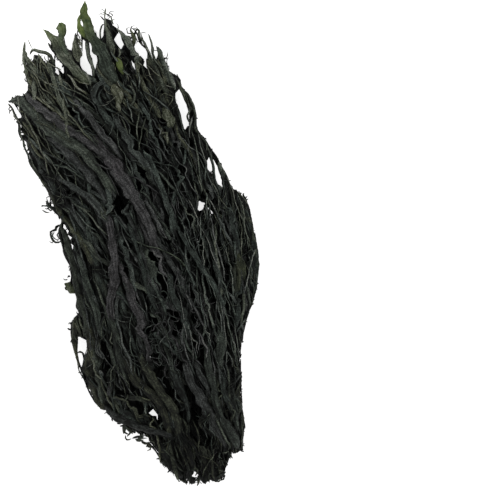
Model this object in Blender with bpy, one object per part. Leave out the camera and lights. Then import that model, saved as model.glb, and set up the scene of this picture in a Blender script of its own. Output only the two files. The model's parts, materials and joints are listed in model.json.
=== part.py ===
"""A sheaf of dried wakame that lies on a table.

Two dozen fronds were laid over each other wet and dried into one loose mass. Each has shrunk to a crumpled
blade, folded along its length, with long lobes that leave it as ribbons and strings and run beside it, from
the folded foot of the sheaf to its ragged tips.

Frame: metres, +Z up, +Y along the sheaf from its foot to its tips, the origin on the table under its middle.

Every frond has a cell of the sheaf to itself. A cell is a range of the sheaf's own coordinates: v across it,
0 at the left edge and 8 at the right edge, s along it, 0 at the foot and 8 at the tips, and w through it,
0 on the underside and 1 on top. What is drawn inside a cell stays clear of its neighbours.
"""

import math
import random

import bmesh
import bpy
import numpy as np
from mathutils import Vector

MM = 0.001
SEED = 71

# The sheaf's outline on the table, in millimetres: its two edges, its folded foot and its tips.
LEFT_EDGE = [(-70, -80), (-70, -52), (-65, -25), (-59, 3), (-58, 32), (-60, 62), (-67, 98)]
RIGHT_EDGE = [(46, -150), (54, -115), (66, -80), (84, -42), (91, 0), (79, 42), (67, 85)]
FEET = [(-68, -108), (-58, -126), (-47, -144), (-36, -162), (-24, -180), (-10, -196), (8, -199), (24, -194)]
FEET.append((38, -180))
TIPS = [(-74, 137), (-50, 179), (-29, 182), (-16, 182), (6, 198), (21, 188), (41, 167), (49, 159), (58, 135)]
LAST = 8

# Where the edges' first and last points lie along the sheaf, and how far the strands between them cut across
# the bulge on the right, as a share of the sheaf's width at each of the edges' points.
BODY = (1.45, 5.9)
CUT_ACROSS = [0, 0, 0.02, 0.06, 0.07, 0.03, 0]

# Thickness of the sheaf along its middle, from foot to tips, in millimetres, and the share left at an edge.
THICKNESS = [20, 29, 35, 38, 38, 37, 33, 26, 14]
EDGE_SHARE = 0.34
EDGE_ROUNDNESS = 0.55

# How far the underside lifts at its edges and, from TIPS_LIFT_FROM on, at its tips, and how far its lowest
# part sinks below the table, which cuts it off flat. In millimetres.
EDGE_LIFT = 2.5
TIP_LIFT = 4.0
TIPS_LIFT_FROM = 6.0
TABLE_SINK = 0.8

# How far the walls between a layer's fronds sway, and how far lobes may stand out of the sheaf's edges and
# its top, in millimetres.
SWAY = 0.35
EDGE_ROOM = 3.0
TOP_ROOM = 2.0

# What a Boolean leaves closer than this is welded, in metres.
WELD = 0.000002

# Clear air beside each cell's walls and the blade's own thickness, in millimetres.
CLEARANCE = 0.5
BLADE_THICKNESS = 0.9

# A blade is bent once every STATION along the sheaf, about every 20 mm.
STATION = 0.45

# In shares of its cell, how far a blade swings from side to side in two waves, and up and down in one. Then
# the ranges of its width at its bends, of the height of its crease and of the crease's place across it, as
# shares of its half width, and how far it tips over, in radians.
BLADE_SWING = (0.32, 0.12)
BLADE_RISE = 0.16
BLADE_SWELL = (0.65, 1.1)
FOLD = (0.2, 0.7)
CREASE_PLACE = (-0.35, 0.35)
BLADE_TILT = 0.35
BLADE_JOLT = 0.2

# How far a lobe sways and bobs in its lane, its range of width, how far its end narrows, and how far it tips.
LOBE_SWING = 0.10
LOBE_RISE = 0.15
LOBE_SWELL = (0.6, 1.0)
LOBE_TAPER = 0.7
TUMBLE = 0.55

# A lobe is thicker at its root by this share, so that its faces stand clear of the blade's there.
ROOT_BULK = 0.8

# Half widths of ribbons and strings, in millimetres, how long lobes are, and how far out their lanes lie.
RIBBON_SIZE = (1.3, 3.2)
STRING_SIZE = (0.6, 0.95)
LOBE_LENGTH = (1.6, 2.8)
LANE = (0.55, 0.95)

# A hidden frond's flutes, and how deep they are, as shares of the body's radius.
FLUTES = 4
FLUTE_DEPTH = (0.5, 0.75)

# Two green blades lie on the tips from here on.
GREEN_FROM = 7.0


def cubic_weights(t):
    """The four neighbours of t in a row of nine, and their Catmull-Rom weights."""
    first = min(max(int(math.floor(t)), 0), LAST - 1)
    f = t - first
    near = [min(max(first + k, 0), LAST) for k in (-1, 0, 1, 2)]
    weights = (
        -0.5 * f**3 + f**2 - 0.5 * f,
        1.5 * f**3 - 2.5 * f**2 + 1,
        -1.5 * f**3 + 2 * f**2 + 0.5 * f,
        0.5 * f**3 - 0.5 * f**2,
    )
    return near, weights


def outline_grid():
    """Nine rows of nine points from foot to tips, each spread between the two edges."""
    rows = [FEET]
    for left, right, cut in zip(LEFT_EDGE, RIGHT_EDGE, CUT_ACROSS):
        shares = [k / LAST - cut * math.sin(math.pi * k / LAST) for k in range(LAST + 1)]
        rows.append([np.array(left) + (np.array(right) - left) * share for share in shares])
    rows.append(TIPS)
    return np.array(rows, float)


GRID = outline_grid()


def on_table(v, s):
    """The plan position of sheaf coordinates (v, s), in millimetres."""
    across, across_weights = cubic_weights(v)
    along, along_weights = cubic_weights(np.interp(s, (0, *BODY, LAST), (0, 1, LAST - 1, LAST)))
    place = np.zeros(2)
    for row, row_weight in zip(along, along_weights):
        for column, column_weight in zip(across, across_weights):
            place += row_weight * column_weight * GRID[row, column]
    return place


def thickness(v, s):
    """How thick the sheaf is at (v, s), in millimetres: domed across, thin at the tips."""
    along, weights = cubic_weights(s)
    middle = sum(weight * THICKNESS[row] for row, weight in zip(along, weights))
    dome = math.sin(math.pi * min(max(v / LAST, 0), 1)) ** EDGE_ROUNDNESS
    return middle * (EDGE_SHARE + (1 - EDGE_SHARE) * dome)


def underside(v, s):
    """The height of the sheaf's underside. Its middle sits on the table, its edges and tips rise a little."""
    edge = abs(v / LAST - 0.5) * 2
    tip = max(s - TIPS_LIFT_FROM, 0) / (LAST - TIPS_LIFT_FROM)
    return EDGE_LIFT * edge**4 + TIP_LIFT * tip**2 - TABLE_SINK


def sheaf_point(v, s, w):
    x, y = on_table(v, s)
    return np.array((x, y, underside(v, s) + w * thickness(v, s))) * MM


class Layer:
    """A layer of fronds side by side. Its walls lean over towards the tips and sway, all but the outer two.

    across is where its outer walls stand, and through is where it starts and ends from underside to top.
    """

    def __init__(self, across, through, fronds, lean=0.0, phase=0.0, top=False):
        self.across, self.through, self.fronds = across, through, fronds
        self.lean, self.phase, self.top = lean, phase, top

    def wall(self, number, s):
        low, high = self.across
        share = number / self.fronds
        moved = self.lean * (s / LAST - 0.5) + SWAY * math.sin(1.1 * s + self.phase)
        return low + (high - low) * share + 4 * share * (1 - share) * moved

    def cells(self):
        return [Cell(self, number) for number in range(self.fronds)]


class Cell:
    """The part of a layer that one frond has to itself: q and h run from -1 to 1 across and through it."""

    def __init__(self, layer, number):
        self.layer, self.number = layer, number
        low_w, high_w = layer.through
        self.middle_w, self.half_w = (low_w + high_w) / 2, (high_w - low_w) / 2

    def point(self, q, h, s):
        low, high = self.layer.wall(self.number, s), self.layer.wall(self.number + 1, s)
        v = (low + high) / 2 + q * (high - low) / 2
        return sheaf_point(v, s, self.middle_w + h * self.half_w)

    def half_size(self, q, s):
        """Half the cell's width and height at (q, s), in millimetres."""
        width = np.linalg.norm(self.point(1, 0, s) - self.point(-1, 0, s)) / MM / 2
        height = (self.point(q, 1, s)[2] - self.point(q, -1, s)[2]) / MM / 2
        return width, height

    def reaches(self, width, height):
        """The lowest and highest q and h that a frond may reach, in a cell of this half size."""
        at_left = self.number == 0 and self.layer.across[0] == 0
        at_right = self.number == self.layer.fronds - 1 and self.layer.across[1] == LAST
        left = EDGE_ROOM if at_left else -CLEARANCE
        right = EDGE_ROOM if at_right else -CLEARANCE
        up = TOP_ROOM if self.layer.top else -CLEARANCE
        return (-1 - left / width, 1 + right / width), (-1 + CLEARANCE / height, 1 + up / height)

    def fit(self, s, q, h, corners, tilt):
        """A section with its corners, in millimetres, round (q, h), turned by tilt and kept in the cell."""
        width, height = self.half_size(q, s)
        q_limits, h_limits = self.reaches(width, height)
        c, d = math.cos(tilt), math.sin(tilt)
        offsets = np.array([((a * c - b * d) / width, (a * d + b * c) / height) for a, b in corners])
        reach = np.abs(offsets).max(0)
        room = [(limits[1] - limits[0]) / 2 for limits in (q_limits, h_limits)]
        offsets *= np.minimum(1, 0.98 * np.array(room) / reach)
        return offsets + (within(q, reach[0], q_limits), within(h, reach[1], h_limits))


def within(value, reach, limits):
    """value, moved so that value - reach and value + reach lie within limits."""
    low, high = limits
    reach = min(reach, (high - low) / 2)
    return min(max(value, low + reach), high - reach)


def smooth(t):
    t = min(max(t, 0), 1)
    return t * t * (3 - 2 * t)


def folded(half_width, fold, crease):
    """A blade folded along its length: fold is the crease's height, crease its place across."""
    thick = BLADE_THICKNESS / 2
    line = ((-half_width, 0), (crease * half_width, fold), (half_width, 0.3 * fold))
    return [(a, b - thick) for a, b in line] + [(a, b + thick) for a, b in reversed(line)]


def ribbon(half_width):
    thick = BLADE_THICKNESS / 2
    return [(-half_width, -thick), (half_width, -thick), (half_width, thick), (-half_width, thick)]


def string(radius):
    return [(radius * math.cos(angle), radius * math.sin(angle)) for angle in (0.5, 2.6, 4.7)]


def close_end(mesh, row):
    """Closes a tube's end: a wad's by a fan round its middle, a blade's by a strip from edge to edge."""
    count = len(row)
    if count == 2 * FLUTES:
        middle = mesh.verts.new(sum((vert.co for vert in row), Vector()) / count)
        for k in range(count):
            mesh.faces.new((middle, row[k], row[(k + 1) % count]))
        return
    for k in range(count // 2 - 1):
        mesh.faces.new((row[k], row[k + 1], row[count - 2 - k], row[count - 1 - k]))
    if count == 3:
        mesh.faces.new(row)


def closed_tube(cell, stations, sections):
    """A closed mesh through sections in q and h, one a station. A blade's two faces are split alike."""
    count = len(sections[0])
    mesh = bmesh.new()
    rows = []
    for s, section in zip(stations, sections):
        rows.append([mesh.verts.new(cell.point(q, h, s)) for q, h in section])
    for near, far in zip(rows, rows[1:]):
        for k in range(count):
            after = (k + 1) % count
            if k < count / 2:
                mesh.faces.new((near[k], near[after], far[after]))
                mesh.faces.new((near[k], far[after], far[k]))
            else:
                mesh.faces.new((near[k], near[after], far[k]))
                mesh.faces.new((near[after], far[after], far[k]))
    for row in (rows[0], rows[-1]):
        close_end(mesh, row)
    bmesh.ops.recalc_face_normals(mesh, faces=mesh.faces)
    bmesh.ops.triangulate(mesh, faces=mesh.faces)
    if mesh.calc_volume(signed=True) < 0:
        bmesh.ops.reverse_faces(mesh, faces=mesh.faces)
    return mesh


class Blade:
    """A frond's main blade, bent and folded at each station, with seats on it for the lobes that leave it."""

    def __init__(self, cell, start, end, half_width, level, rng):
        steps = max(round((end - start) / STATION), 2)
        phases = [rng.uniform(0, 2 * math.pi) for _ in range(4)]
        pace = rng.uniform(0.9, 1.4)
        self.cell = cell
        self.stations = [start + (end - start) * step / steps for step in range(steps + 1)]
        self.sections, self.seats = [], []
        for step, s in enumerate(self.stations):
            t = step / steps
            swings = math.sin(pace * s + phases[0]), math.sin(2.6 * s + phases[1])
            q = BLADE_SWING[0] * swings[0] + BLADE_SWING[1] * swings[1]
            h = level + BLADE_RISE * math.sin(1.7 * s + phases[2])
            taper = (0.4 + 0.6 * smooth(t * 6)) * (0.2 + 0.8 * smooth((1 - t) * 4))
            half = half_width * taper * rng.uniform(*BLADE_SWELL)
            fold = half * rng.uniform(*FOLD) * math.copysign(1, math.sin(0.8 * s + phases[3]))
            tilt = BLADE_TILT * math.sin(1.3 * s + phases[3]) + rng.uniform(-BLADE_JOLT, BLADE_JOLT)
            section = cell.fit(s, q, h, folded(half, fold, rng.uniform(*CREASE_PLACE)), tilt)
            left, crease, right = ((section[k] + section[5 - k]) / 2 for k in range(3))
            self.sections.append(section)
            self.seats.append({-1: (left + crease) / 2, 1: (right + crease) / 2})

    def mesh(self):
        return closed_tube(self.cell, self.stations, self.sections)


def lobe(blade, first, length, side, lane, level, shape, size, rng):
    """A ribbon or string with its root in the blade's seat at station first, which swings out to its lane."""
    cell = blade.cell
    start = blade.stations[first]
    end = min(start + length, LAST - 0.04)
    steps = max(round((end - start) / STATION), 3)
    phases = [rng.uniform(0, 2 * math.pi) for _ in range(2)]
    stations, sections = [], []
    for step in range(steps + 1):
        t = step / steps
        s = start + (end - start) * t
        seat = blade.seats[min(first + step, len(blade.seats) - 1)][side]
        leave = smooth(step / 2)
        q = seat[0] + (side * lane - seat[0] + LOBE_SWING * math.sin(7 * t + phases[0])) * leave
        h = seat[1] + (level - seat[1] + LOBE_RISE * math.sin(6 * t + phases[1])) * leave
        swell = rng.uniform(*LOBE_SWELL) * (1 - LOBE_TAPER * t**5)
        bulk = 1 + ROOT_BULK * (1 - leave)
        corners = [(a, b * bulk) for a, b in shape(max(size * swell, BLADE_THICKNESS / 2))]
        stations.append(s)
        sections.append(cell.fit(s, q, h, corners, rng.uniform(-TUMBLE, TUMBLE) * leave))
    return closed_tube(cell, stations, sections)


def wad(cell, start, end, rng):
    """A frond that is hidden inside the sheaf, its blade wadded into one fluted body that fills its cell."""
    count = 2 * FLUTES
    turn = rng.uniform(0, 2 * math.pi)
    steps = round((end - start) / STATION / 1.4)
    stations, sections = [], []
    for step in range(steps + 1):
        s = start + (end - start) * step / steps
        taper = math.sin(math.pi * (0.04 + 0.92 * step / steps)) ** 0.35
        q_limits, h_limits = cell.reaches(*cell.half_size(0, s))
        section = []
        for k in range(count):
            angle = 2 * math.pi * k / count + 0.5 * math.sin(0.9 * s + turn)
            flute = taper * (1 if k % 2 else rng.uniform(*FLUTE_DEPTH))
            q, h = flute * math.cos(angle), flute * math.sin(angle)
            section.append((within(q, 0, q_limits), within(h, 0, h_limits)))
        stations.append(s)
        sections.append(section)
    return closed_tube(cell, stations, sections)


def as_object(name, mesh, collection):
    data = bpy.data.meshes.new(name)
    mesh.to_mesh(data)
    mesh.free()
    obj = bpy.data.objects.new(name, data)
    collection.objects.link(obj)
    return obj


def table_block():
    """A block whose top is the table, for cutting the lowest fronds flat."""
    mesh = bmesh.new()
    bmesh.ops.create_cube(mesh, size=1.0)
    bmesh.ops.scale(mesh, vec=(0.6, 0.6, 0.02), verts=mesh.verts)
    bmesh.ops.translate(mesh, vec=(0, 0, -0.01), verts=mesh.verts)
    return as_object("table_block", mesh, bpy.context.scene.collection)


def fused(name, body, lobes, material, on_the_table=False):
    """One solid of a frond's body and its lobes. A frond on the table is cut off flat there."""
    scene = bpy.context.scene.collection
    heap = bpy.data.collections.new(name + "_lobes")
    scene.children.link(heap)
    obj = as_object(name, body, scene)
    for number, mesh in enumerate(lobes):
        as_object(f"{name}_lobe_{number}", mesh, heap)
    helpers = list(heap.objects)
    if helpers:
        union = obj.modifiers.new("Lobes", "BOOLEAN")
        union.operation = "UNION"
        union.solver = "MANIFOLD"
        union.operand_type = "COLLECTION"
        union.collection = heap
    if on_the_table:
        cut = obj.modifiers.new("Table", "BOOLEAN")
        cut.operation = "DIFFERENCE"
        cut.solver = "MANIFOLD"
        cut.object = table_block()
        helpers.append(cut.object)
    bpy.context.view_layer.update()
    evaluated = obj.evaluated_get(bpy.context.evaluated_depsgraph_get())
    solid = bpy.data.meshes.new_from_object(evaluated)
    obj.modifiers.clear()
    obj.data = solid
    for helper in helpers:
        bpy.data.objects.remove(helper)
    bpy.data.collections.remove(heap)
    clean(obj)
    solid.materials.clear()
    solid.materials.append(material)
    return obj


def clean(obj):
    """Welds the slivers that a Boolean leaves, and keeps the largest body. The table's cut can leave scraps."""
    mesh = bmesh.new()
    mesh.from_mesh(obj.data)
    bmesh.ops.remove_doubles(mesh, verts=mesh.verts, dist=WELD)
    bmesh.ops.dissolve_degenerate(mesh, edges=mesh.edges, dist=WELD)
    bmesh.ops.triangulate(mesh, faces=mesh.faces)
    unseen, bodies = set(mesh.verts), []
    while unseen:
        growing, body = [unseen.pop()], []
        while growing:
            vert = growing.pop()
            body.append(vert)
            for edge in vert.link_edges:
                other = edge.other_vert(vert)
                if other in unseen:
                    unseen.remove(other)
                    growing.append(other)
        bodies.append(body)
    bodies.sort(key=len, reverse=True)
    for body in bodies[1:]:
        bmesh.ops.delete(mesh, geom=body, context="VERTS")
    open_edges = sum(len(edge.link_faces) != 2 for edge in mesh.edges)
    mesh.to_mesh(obj.data)
    mesh.free()
    print(obj.name, "triangles", len(obj.data.polygons), "scraps", len(bodies) - 1, "open edges", open_edges)


def leathery(name, colour, roughness):
    material = bpy.data.materials.new(name)
    material.use_nodes = True
    shader = material.node_tree.nodes["Principled BSDF"]
    shader.inputs["Base Color"].default_value = (*colour, 1)
    shader.inputs["Roughness"].default_value = roughness
    shader.inputs["Metallic"].default_value = 0.0
    return material


def frond(name, cell, material, rng, ends, half_width, level, lobes, levels, on_the_table=False):
    """One frond: its blade, and lobes that leave it turn about on its left and right."""
    start, end = (limit + rng.uniform(-0.2, 0.2) for limit in ends)
    blade = Blade(cell, max(start, 0.03), min(end, LAST - 0.06), half_width, level, rng)
    last_seat = len(blade.stations) - 3
    meshes = []
    for number in range(lobes):
        first = min(round(last_seat * (number + rng.uniform(0.1, 0.9)) / lobes), last_seat)
        side = 1 if number % 2 else -1
        shape, sizes = (string, STRING_SIZE) if number % 3 == 2 else (ribbon, RIBBON_SIZE)
        size, length, lane, rise = (rng.uniform(*limits) for limits in (sizes, LOBE_LENGTH, LANE, levels))
        meshes.append(lobe(blade, first, length, side, lane, rise, shape, size, rng))
    return fused(name, blade.mesh(), meshes, material, on_the_table)


def sheaf():
    """Every frond of the sheaf, from the table up."""
    rng = random.Random(SEED)
    dark = leathery("dark_frond", (0.030, 0.034, 0.029), 0.62)
    olive = leathery("olive_frond", (0.055, 0.060, 0.038), 0.6)
    green = leathery("green_blade", (0.12, 0.17, 0.03), 0.5)
    made = []

    under = Layer((0, LAST), (0.0, 0.26), 6, lean=-1.2)
    for number, cell in enumerate(under.cells(), 1):
        made.append(frond(f"frond_under_{number}", cell, dark, rng, ends=(0.2, 7.3), half_width=7.0,
                          level=-0.2, lobes=4, levels=(-0.8, 0.4), on_the_table=True))
    inner = Layer((0.6, 7.4), (0.26, 0.58), 5, phase=2.0)
    for number, cell in enumerate(inner.cells(), 1):
        made.append(fused(f"frond_inner_{number}", wad(cell, 0.12, 7.4, rng), [], dark))
    upper = Layer((0, LAST), (0.58, 0.84), 8, lean=0.9, phase=4.0)
    for number, cell in enumerate(upper.cells(), 1):
        made.append(frond(f"frond_upper_{number}", cell, olive if number in (3, 6) else dark, rng,
                          ends=(0.25, 7.5), half_width=5.0, level=-0.2, lobes=6, levels=(-0.5, 0.9)))
    top = Layer((0.9, 7.1), (0.84, 1.04), 5, lean=-2.4, phase=1.0, top=True)
    for number, cell in enumerate(top.cells(), 1):
        made.append(frond(f"frond_top_{number}", cell, olive if number == 1 else dark, rng, ends=(0.5, 6.5),
                          half_width=3.2, level=0.0, lobes=3, levels=(-0.4, 0.9)))
    for number, (cell, half_width) in enumerate(((top.cells()[3], 3.4), (top.cells()[2], 2.4)), 1):
        blade = Blade(cell, GREEN_FROM, LAST - 0.05, half_width, 0.3, rng)
        made.append(fused(f"green_blade_{number}", blade.mesh(), [], green))
    return made


def stand_at_origin(objects):
    """Moves every mesh so that the sheaf stands on z = 0 with the origin under the middle of its box."""
    corners = np.array([vert.co for obj in objects for vert in obj.data.vertices])
    low, high = corners.min(0), corners.max(0)
    shift = np.array((-(low[0] + high[0]) / 2, -(low[1] + high[1]) / 2, -low[2]))
    for obj in objects:
        for vert in obj.data.vertices:
            vert.co = np.array(vert.co) + shift
    print("shift to origin, mm:", (shift / MM).round(3), "size, mm:", ((high - low) / MM).round(1))


def main():
    for obj in list(bpy.data.objects):
        bpy.data.objects.remove(obj)
    objects = sheaf()
    stand_at_origin(objects)
    print("triangles", sum(len(obj.data.polygons) for obj in objects))


main()
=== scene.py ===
# %% [markdown]
# # A sheaf of dried wakame
#
# Wakame is dried as whole fronds. Each frond is a thin blade with a tougher midrib, and as it dries the blade
# shrinks, folds and curls until it is a crumpled ribbon with strings beside it. A sheaf is two dozen of them
# laid over each other. This script dresses the sheaf's plain solids: it lays fine ribbons and strings along the
# same lines, gives each its wrinkles and ragged edges, and finishes them in near-black, olive and green.

# %% Load the solids
import json
import math
import random

import bpy
import numpy as np
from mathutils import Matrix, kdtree


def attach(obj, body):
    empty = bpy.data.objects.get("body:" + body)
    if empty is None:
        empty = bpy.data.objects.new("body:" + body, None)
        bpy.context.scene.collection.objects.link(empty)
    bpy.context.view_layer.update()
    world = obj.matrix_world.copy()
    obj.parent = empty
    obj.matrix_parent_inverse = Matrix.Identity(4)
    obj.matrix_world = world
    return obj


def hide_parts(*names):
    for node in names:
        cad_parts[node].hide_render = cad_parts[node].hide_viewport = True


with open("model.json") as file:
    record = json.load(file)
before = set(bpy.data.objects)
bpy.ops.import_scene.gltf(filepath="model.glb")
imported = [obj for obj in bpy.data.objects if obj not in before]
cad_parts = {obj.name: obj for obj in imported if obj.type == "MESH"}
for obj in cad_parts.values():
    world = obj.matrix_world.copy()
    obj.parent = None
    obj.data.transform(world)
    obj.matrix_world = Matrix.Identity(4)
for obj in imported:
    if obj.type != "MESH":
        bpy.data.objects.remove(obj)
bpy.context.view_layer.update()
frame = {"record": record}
MM = 0.001

# %% [markdown]
# ## The camera
#
# The sheaf lies on a table and is seen from straight above. One pixel of the view is 0.8 mm of the table, and
# the sheaf leans 14.5 degrees to the left of upright. A long lens from 1.2 m away keeps the near and far sides
# of the sheaf at nearly the same size.

# %% Camera
VIEW_PIXELS = 492
PIXEL_MM = 0.8
PIXEL = PIXEL_MM * MM
LEAN = math.radians(14.5)
VIEW_MIDDLE = np.array((71.2, -23.7, 18.0)) * MM
CAMERA_HEIGHT = 1.2
SENSOR = 36.0

camera = bpy.data.objects.new("view_from_above", bpy.data.cameras.new("view_from_above"))
bpy.context.scene.collection.objects.link(camera)
camera.data.sensor_width = SENSOR
camera.data.lens = SENSOR * CAMERA_HEIGHT / (VIEW_PIXELS * PIXEL)
camera.location = VIEW_MIDDLE + (0, 0, CAMERA_HEIGHT)
camera.rotation_euler = (0, 0, -LEAN)
bpy.context.scene.camera = camera
print("view width in mm:", VIEW_PIXELS * PIXEL / MM, "lens in mm:", round(camera.data.lens, 1))

# %% [markdown]
# ## Floor and light
#
# A white floor and big soft lights keep the shadows under the sheaf short. The main light stands towards the
# upper left of the view, because the upper left of the sheaf is the brightest.

# %% Floor, light and colour
bpy.context.scene.view_settings.view_transform = "Standard"


def linear(hex_colour):
    """An sRGB colour such as "1e2120" as the linear numbers that a shader takes."""
    parts = [int(hex_colour[k:k + 2], 16) / 255 for k in (0, 2, 4)]
    return [part / 12.92 if part <= 0.04045 else ((part + 0.055) / 1.055) ** 2.4 for part in parts] + [1.0]


def add_node(tree, kind, inputs=None, **settings):
    """Adds a node with its settings, and sets or links its inputs."""
    made = tree.nodes.new(kind)
    for name, value in settings.items():
        setattr(made, name, value)
    for socket, value in (inputs or {}).items():
        if isinstance(value, bpy.types.NodeSocket):
            tree.links.new(value, made.inputs[socket])
        else:
            made.inputs[socket].default_value = value
    return made


FLOOR_SIZE = 4.0
floor_mesh = bpy.data.meshes.new("floor")
corner = FLOOR_SIZE / 2
floor_mesh.from_pydata([(-corner, -corner, 0), (corner, -corner, 0), (corner, corner, 0), (-corner, corner, 0)],
                       [], [(0, 1, 2, 3)])
floor = bpy.data.objects.new("floor", floor_mesh)
bpy.context.scene.collection.objects.link(floor)
paper = bpy.data.materials.new("white_paper")
paper.use_nodes = True
paper_shader = paper.node_tree.nodes["Principled BSDF"]
paper_shader.inputs["Base Color"].default_value = linear("f4f4f3")
paper_shader.inputs["Roughness"].default_value = 0.9
paper_shader.inputs["Emission Color"].default_value = linear("ffffff")
paper_shader.inputs["Emission Strength"].default_value = 0.8
floor_mesh.materials.append(paper)

# Each light's name, its place and size in metres, and its power in watts.
LIGHTS = (("key_light", (-0.4, 0.58, 0.68), 0.3, 26), ("fill_light", (0.8, -0.2, 1.0), 1.0, 5))
for name, place, size, power in LIGHTS:
    light = bpy.data.lights.new(name, "AREA")
    light.shape = "DISK"
    light.size = size
    light.energy = power
    lamp = bpy.data.objects.new(name, light)
    bpy.context.scene.collection.objects.link(lamp)
    lamp.location = place
    aim = np.array((0, 0, 0)) - place
    lamp.rotation_euler = (math.acos(-aim[2] / np.linalg.norm(aim)), 0, math.atan2(aim[0], -aim[1]))
world = bpy.data.worlds.new("studio")
bpy.context.scene.world = world
world.use_nodes = True
world.node_tree.nodes["Background"].inputs["Color"].default_value = linear("ffffff")
world.node_tree.nodes["Background"].inputs["Strength"].default_value = 0.45

# %% [markdown]
# ## The sheaf's own coordinates
#
# Every frond follows the sheaf, so its line is drawn in coordinates that bend with it: v across the sheaf from
# 0 to 8, s along it from its foot at 0 to its tips at 8, and w through it from 0 underneath to 1 on top. The
# numbers repeat those of the solids, so what is drawn here lies where they are.

# %% Outline and thickness
LEFT_EDGE = [(-70, -80), (-70, -52), (-65, -25), (-59, 3), (-58, 32), (-60, 62), (-67, 98)]
RIGHT_EDGE = [(46, -150), (54, -115), (66, -80), (84, -42), (91, 0), (79, 42), (67, 85)]
FEET = [(-68, -108), (-58, -126), (-47, -144), (-36, -162), (-24, -180), (-10, -196), (8, -199), (24, -194),
        (38, -180)]
TIPS = [(-74, 137), (-50, 179), (-29, 182), (-16, 182), (6, 198), (21, 188), (41, 167), (49, 159), (58, 135)]
LAST = 8
BODY = (1.45, 5.9)
CUT_ACROSS = [0, 0, 0.02, 0.06, 0.07, 0.03, 0]
THICKNESS = np.array([20, 29, 35, 38, 38, 37, 33, 26, 14])
EDGE_SHARE = 0.34
EDGE_ROUNDNESS = 0.55
EDGE_LIFT = 2.5
TIP_LIFT = 4.0
TIPS_LIFT_FROM = 6.0
TABLE_SINK = 0.8

# The solids were moved by this, in millimetres, to bring the origin under the middle of their box.
TO_ORIGIN = np.array((-10.253, -0.193, 0.0))


def cubic(t):
    """The four neighbours of each t in a row of nine, and their Catmull-Rom weights."""
    first = np.clip(np.floor(t).astype(int), 0, LAST - 1)
    f = t - first
    near = np.clip(first + np.array([[-1], [0], [1], [2]]), 0, LAST)
    weights = (-0.5 * f**3 + f**2 - 0.5 * f, 1.5 * f**3 - 2.5 * f**2 + 1,
               -1.5 * f**3 + 2 * f**2 + 0.5 * f, 0.5 * f**3 - 0.5 * f**2)
    return near, np.array(weights)


def outline_grid():
    rows = [FEET]
    for left, right, cut in zip(LEFT_EDGE, RIGHT_EDGE, CUT_ACROSS):
        shares = [k / LAST - cut * math.sin(math.pi * k / LAST) for k in range(LAST + 1)]
        rows.append([np.array(left) + (np.array(right) - left) * share for share in shares])
    rows.append(TIPS)
    return np.array(rows, float)


GRID = outline_grid()


def thickness(v, s):
    along, weights = cubic(s)
    dome = np.sin(math.pi * np.clip(v / LAST, 0, 1)) ** EDGE_ROUNDNESS
    return (weights * THICKNESS[along]).sum(0) * (EDGE_SHARE + (1 - EDGE_SHARE) * dome)


def underside(v, s):
    edge = np.abs(v / LAST - 0.5) * 2
    tip = np.maximum(s - TIPS_LIFT_FROM, 0) / (LAST - TIPS_LIFT_FROM)
    return EDGE_LIFT * edge**4 + TIP_LIFT * tip**2 - TABLE_SINK


def sheaf_points(v, s, w):
    """Points in millimetres, in the solids' frame, of arrays of sheaf coordinates."""
    v, s, w = np.broadcast_arrays(*(np.atleast_1d(np.asarray(x, float)) for x in (v, s, w)))
    rows, row_weights = cubic(np.interp(s, (0, *BODY, LAST), (0, 1, LAST - 1, LAST)))
    columns, column_weights = cubic(v)
    place = np.einsum("in,jn,ijnc->nc", row_weights, column_weights, GRID[rows[:, None], columns[None]])
    return np.column_stack([place, underside(v, s) + w * thickness(v, s)]) + TO_ORIGIN


print("top of the sheaf at its middle, mm:", sheaf_points(4, 4, 1).round(1).tolist())

# %% [markdown]
# ## Layers and cells
#
# Each layer of the sheaf holds a few fronds side by side. The walls between them lean over towards the tips
# and sway, so that the layers cross. Inside a cell, q runs across from -1 to 1 and h runs up from -1 to 1.

# %% Layers and cells
SWAY = 0.35
EDGE_ROOM = 3.0
TOP_ROOM = 2.0
CLEARANCE = 0.5
SOLID_BLADE = 0.9


def within(value, reach, limits):
    reach = min(reach, (limits[1] - limits[0]) / 2)
    return min(max(value, limits[0] + reach), limits[1] - reach)


class Layer:
    def __init__(self, across, through, fronds, lean=0.0, phase=0.0, top=False):
        self.across, self.through, self.fronds = across, through, fronds
        self.lean, self.phase, self.top = lean, phase, top

    def wall(self, number, s):
        low, high = self.across
        share = number / self.fronds
        moved = self.lean * (s / LAST - 0.5) + SWAY * np.sin(1.1 * s + self.phase)
        return low + (high - low) * share + 4 * share * (1 - share) * moved

    def cells(self):
        return [Cell(self, number) for number in range(self.fronds)]


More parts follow.
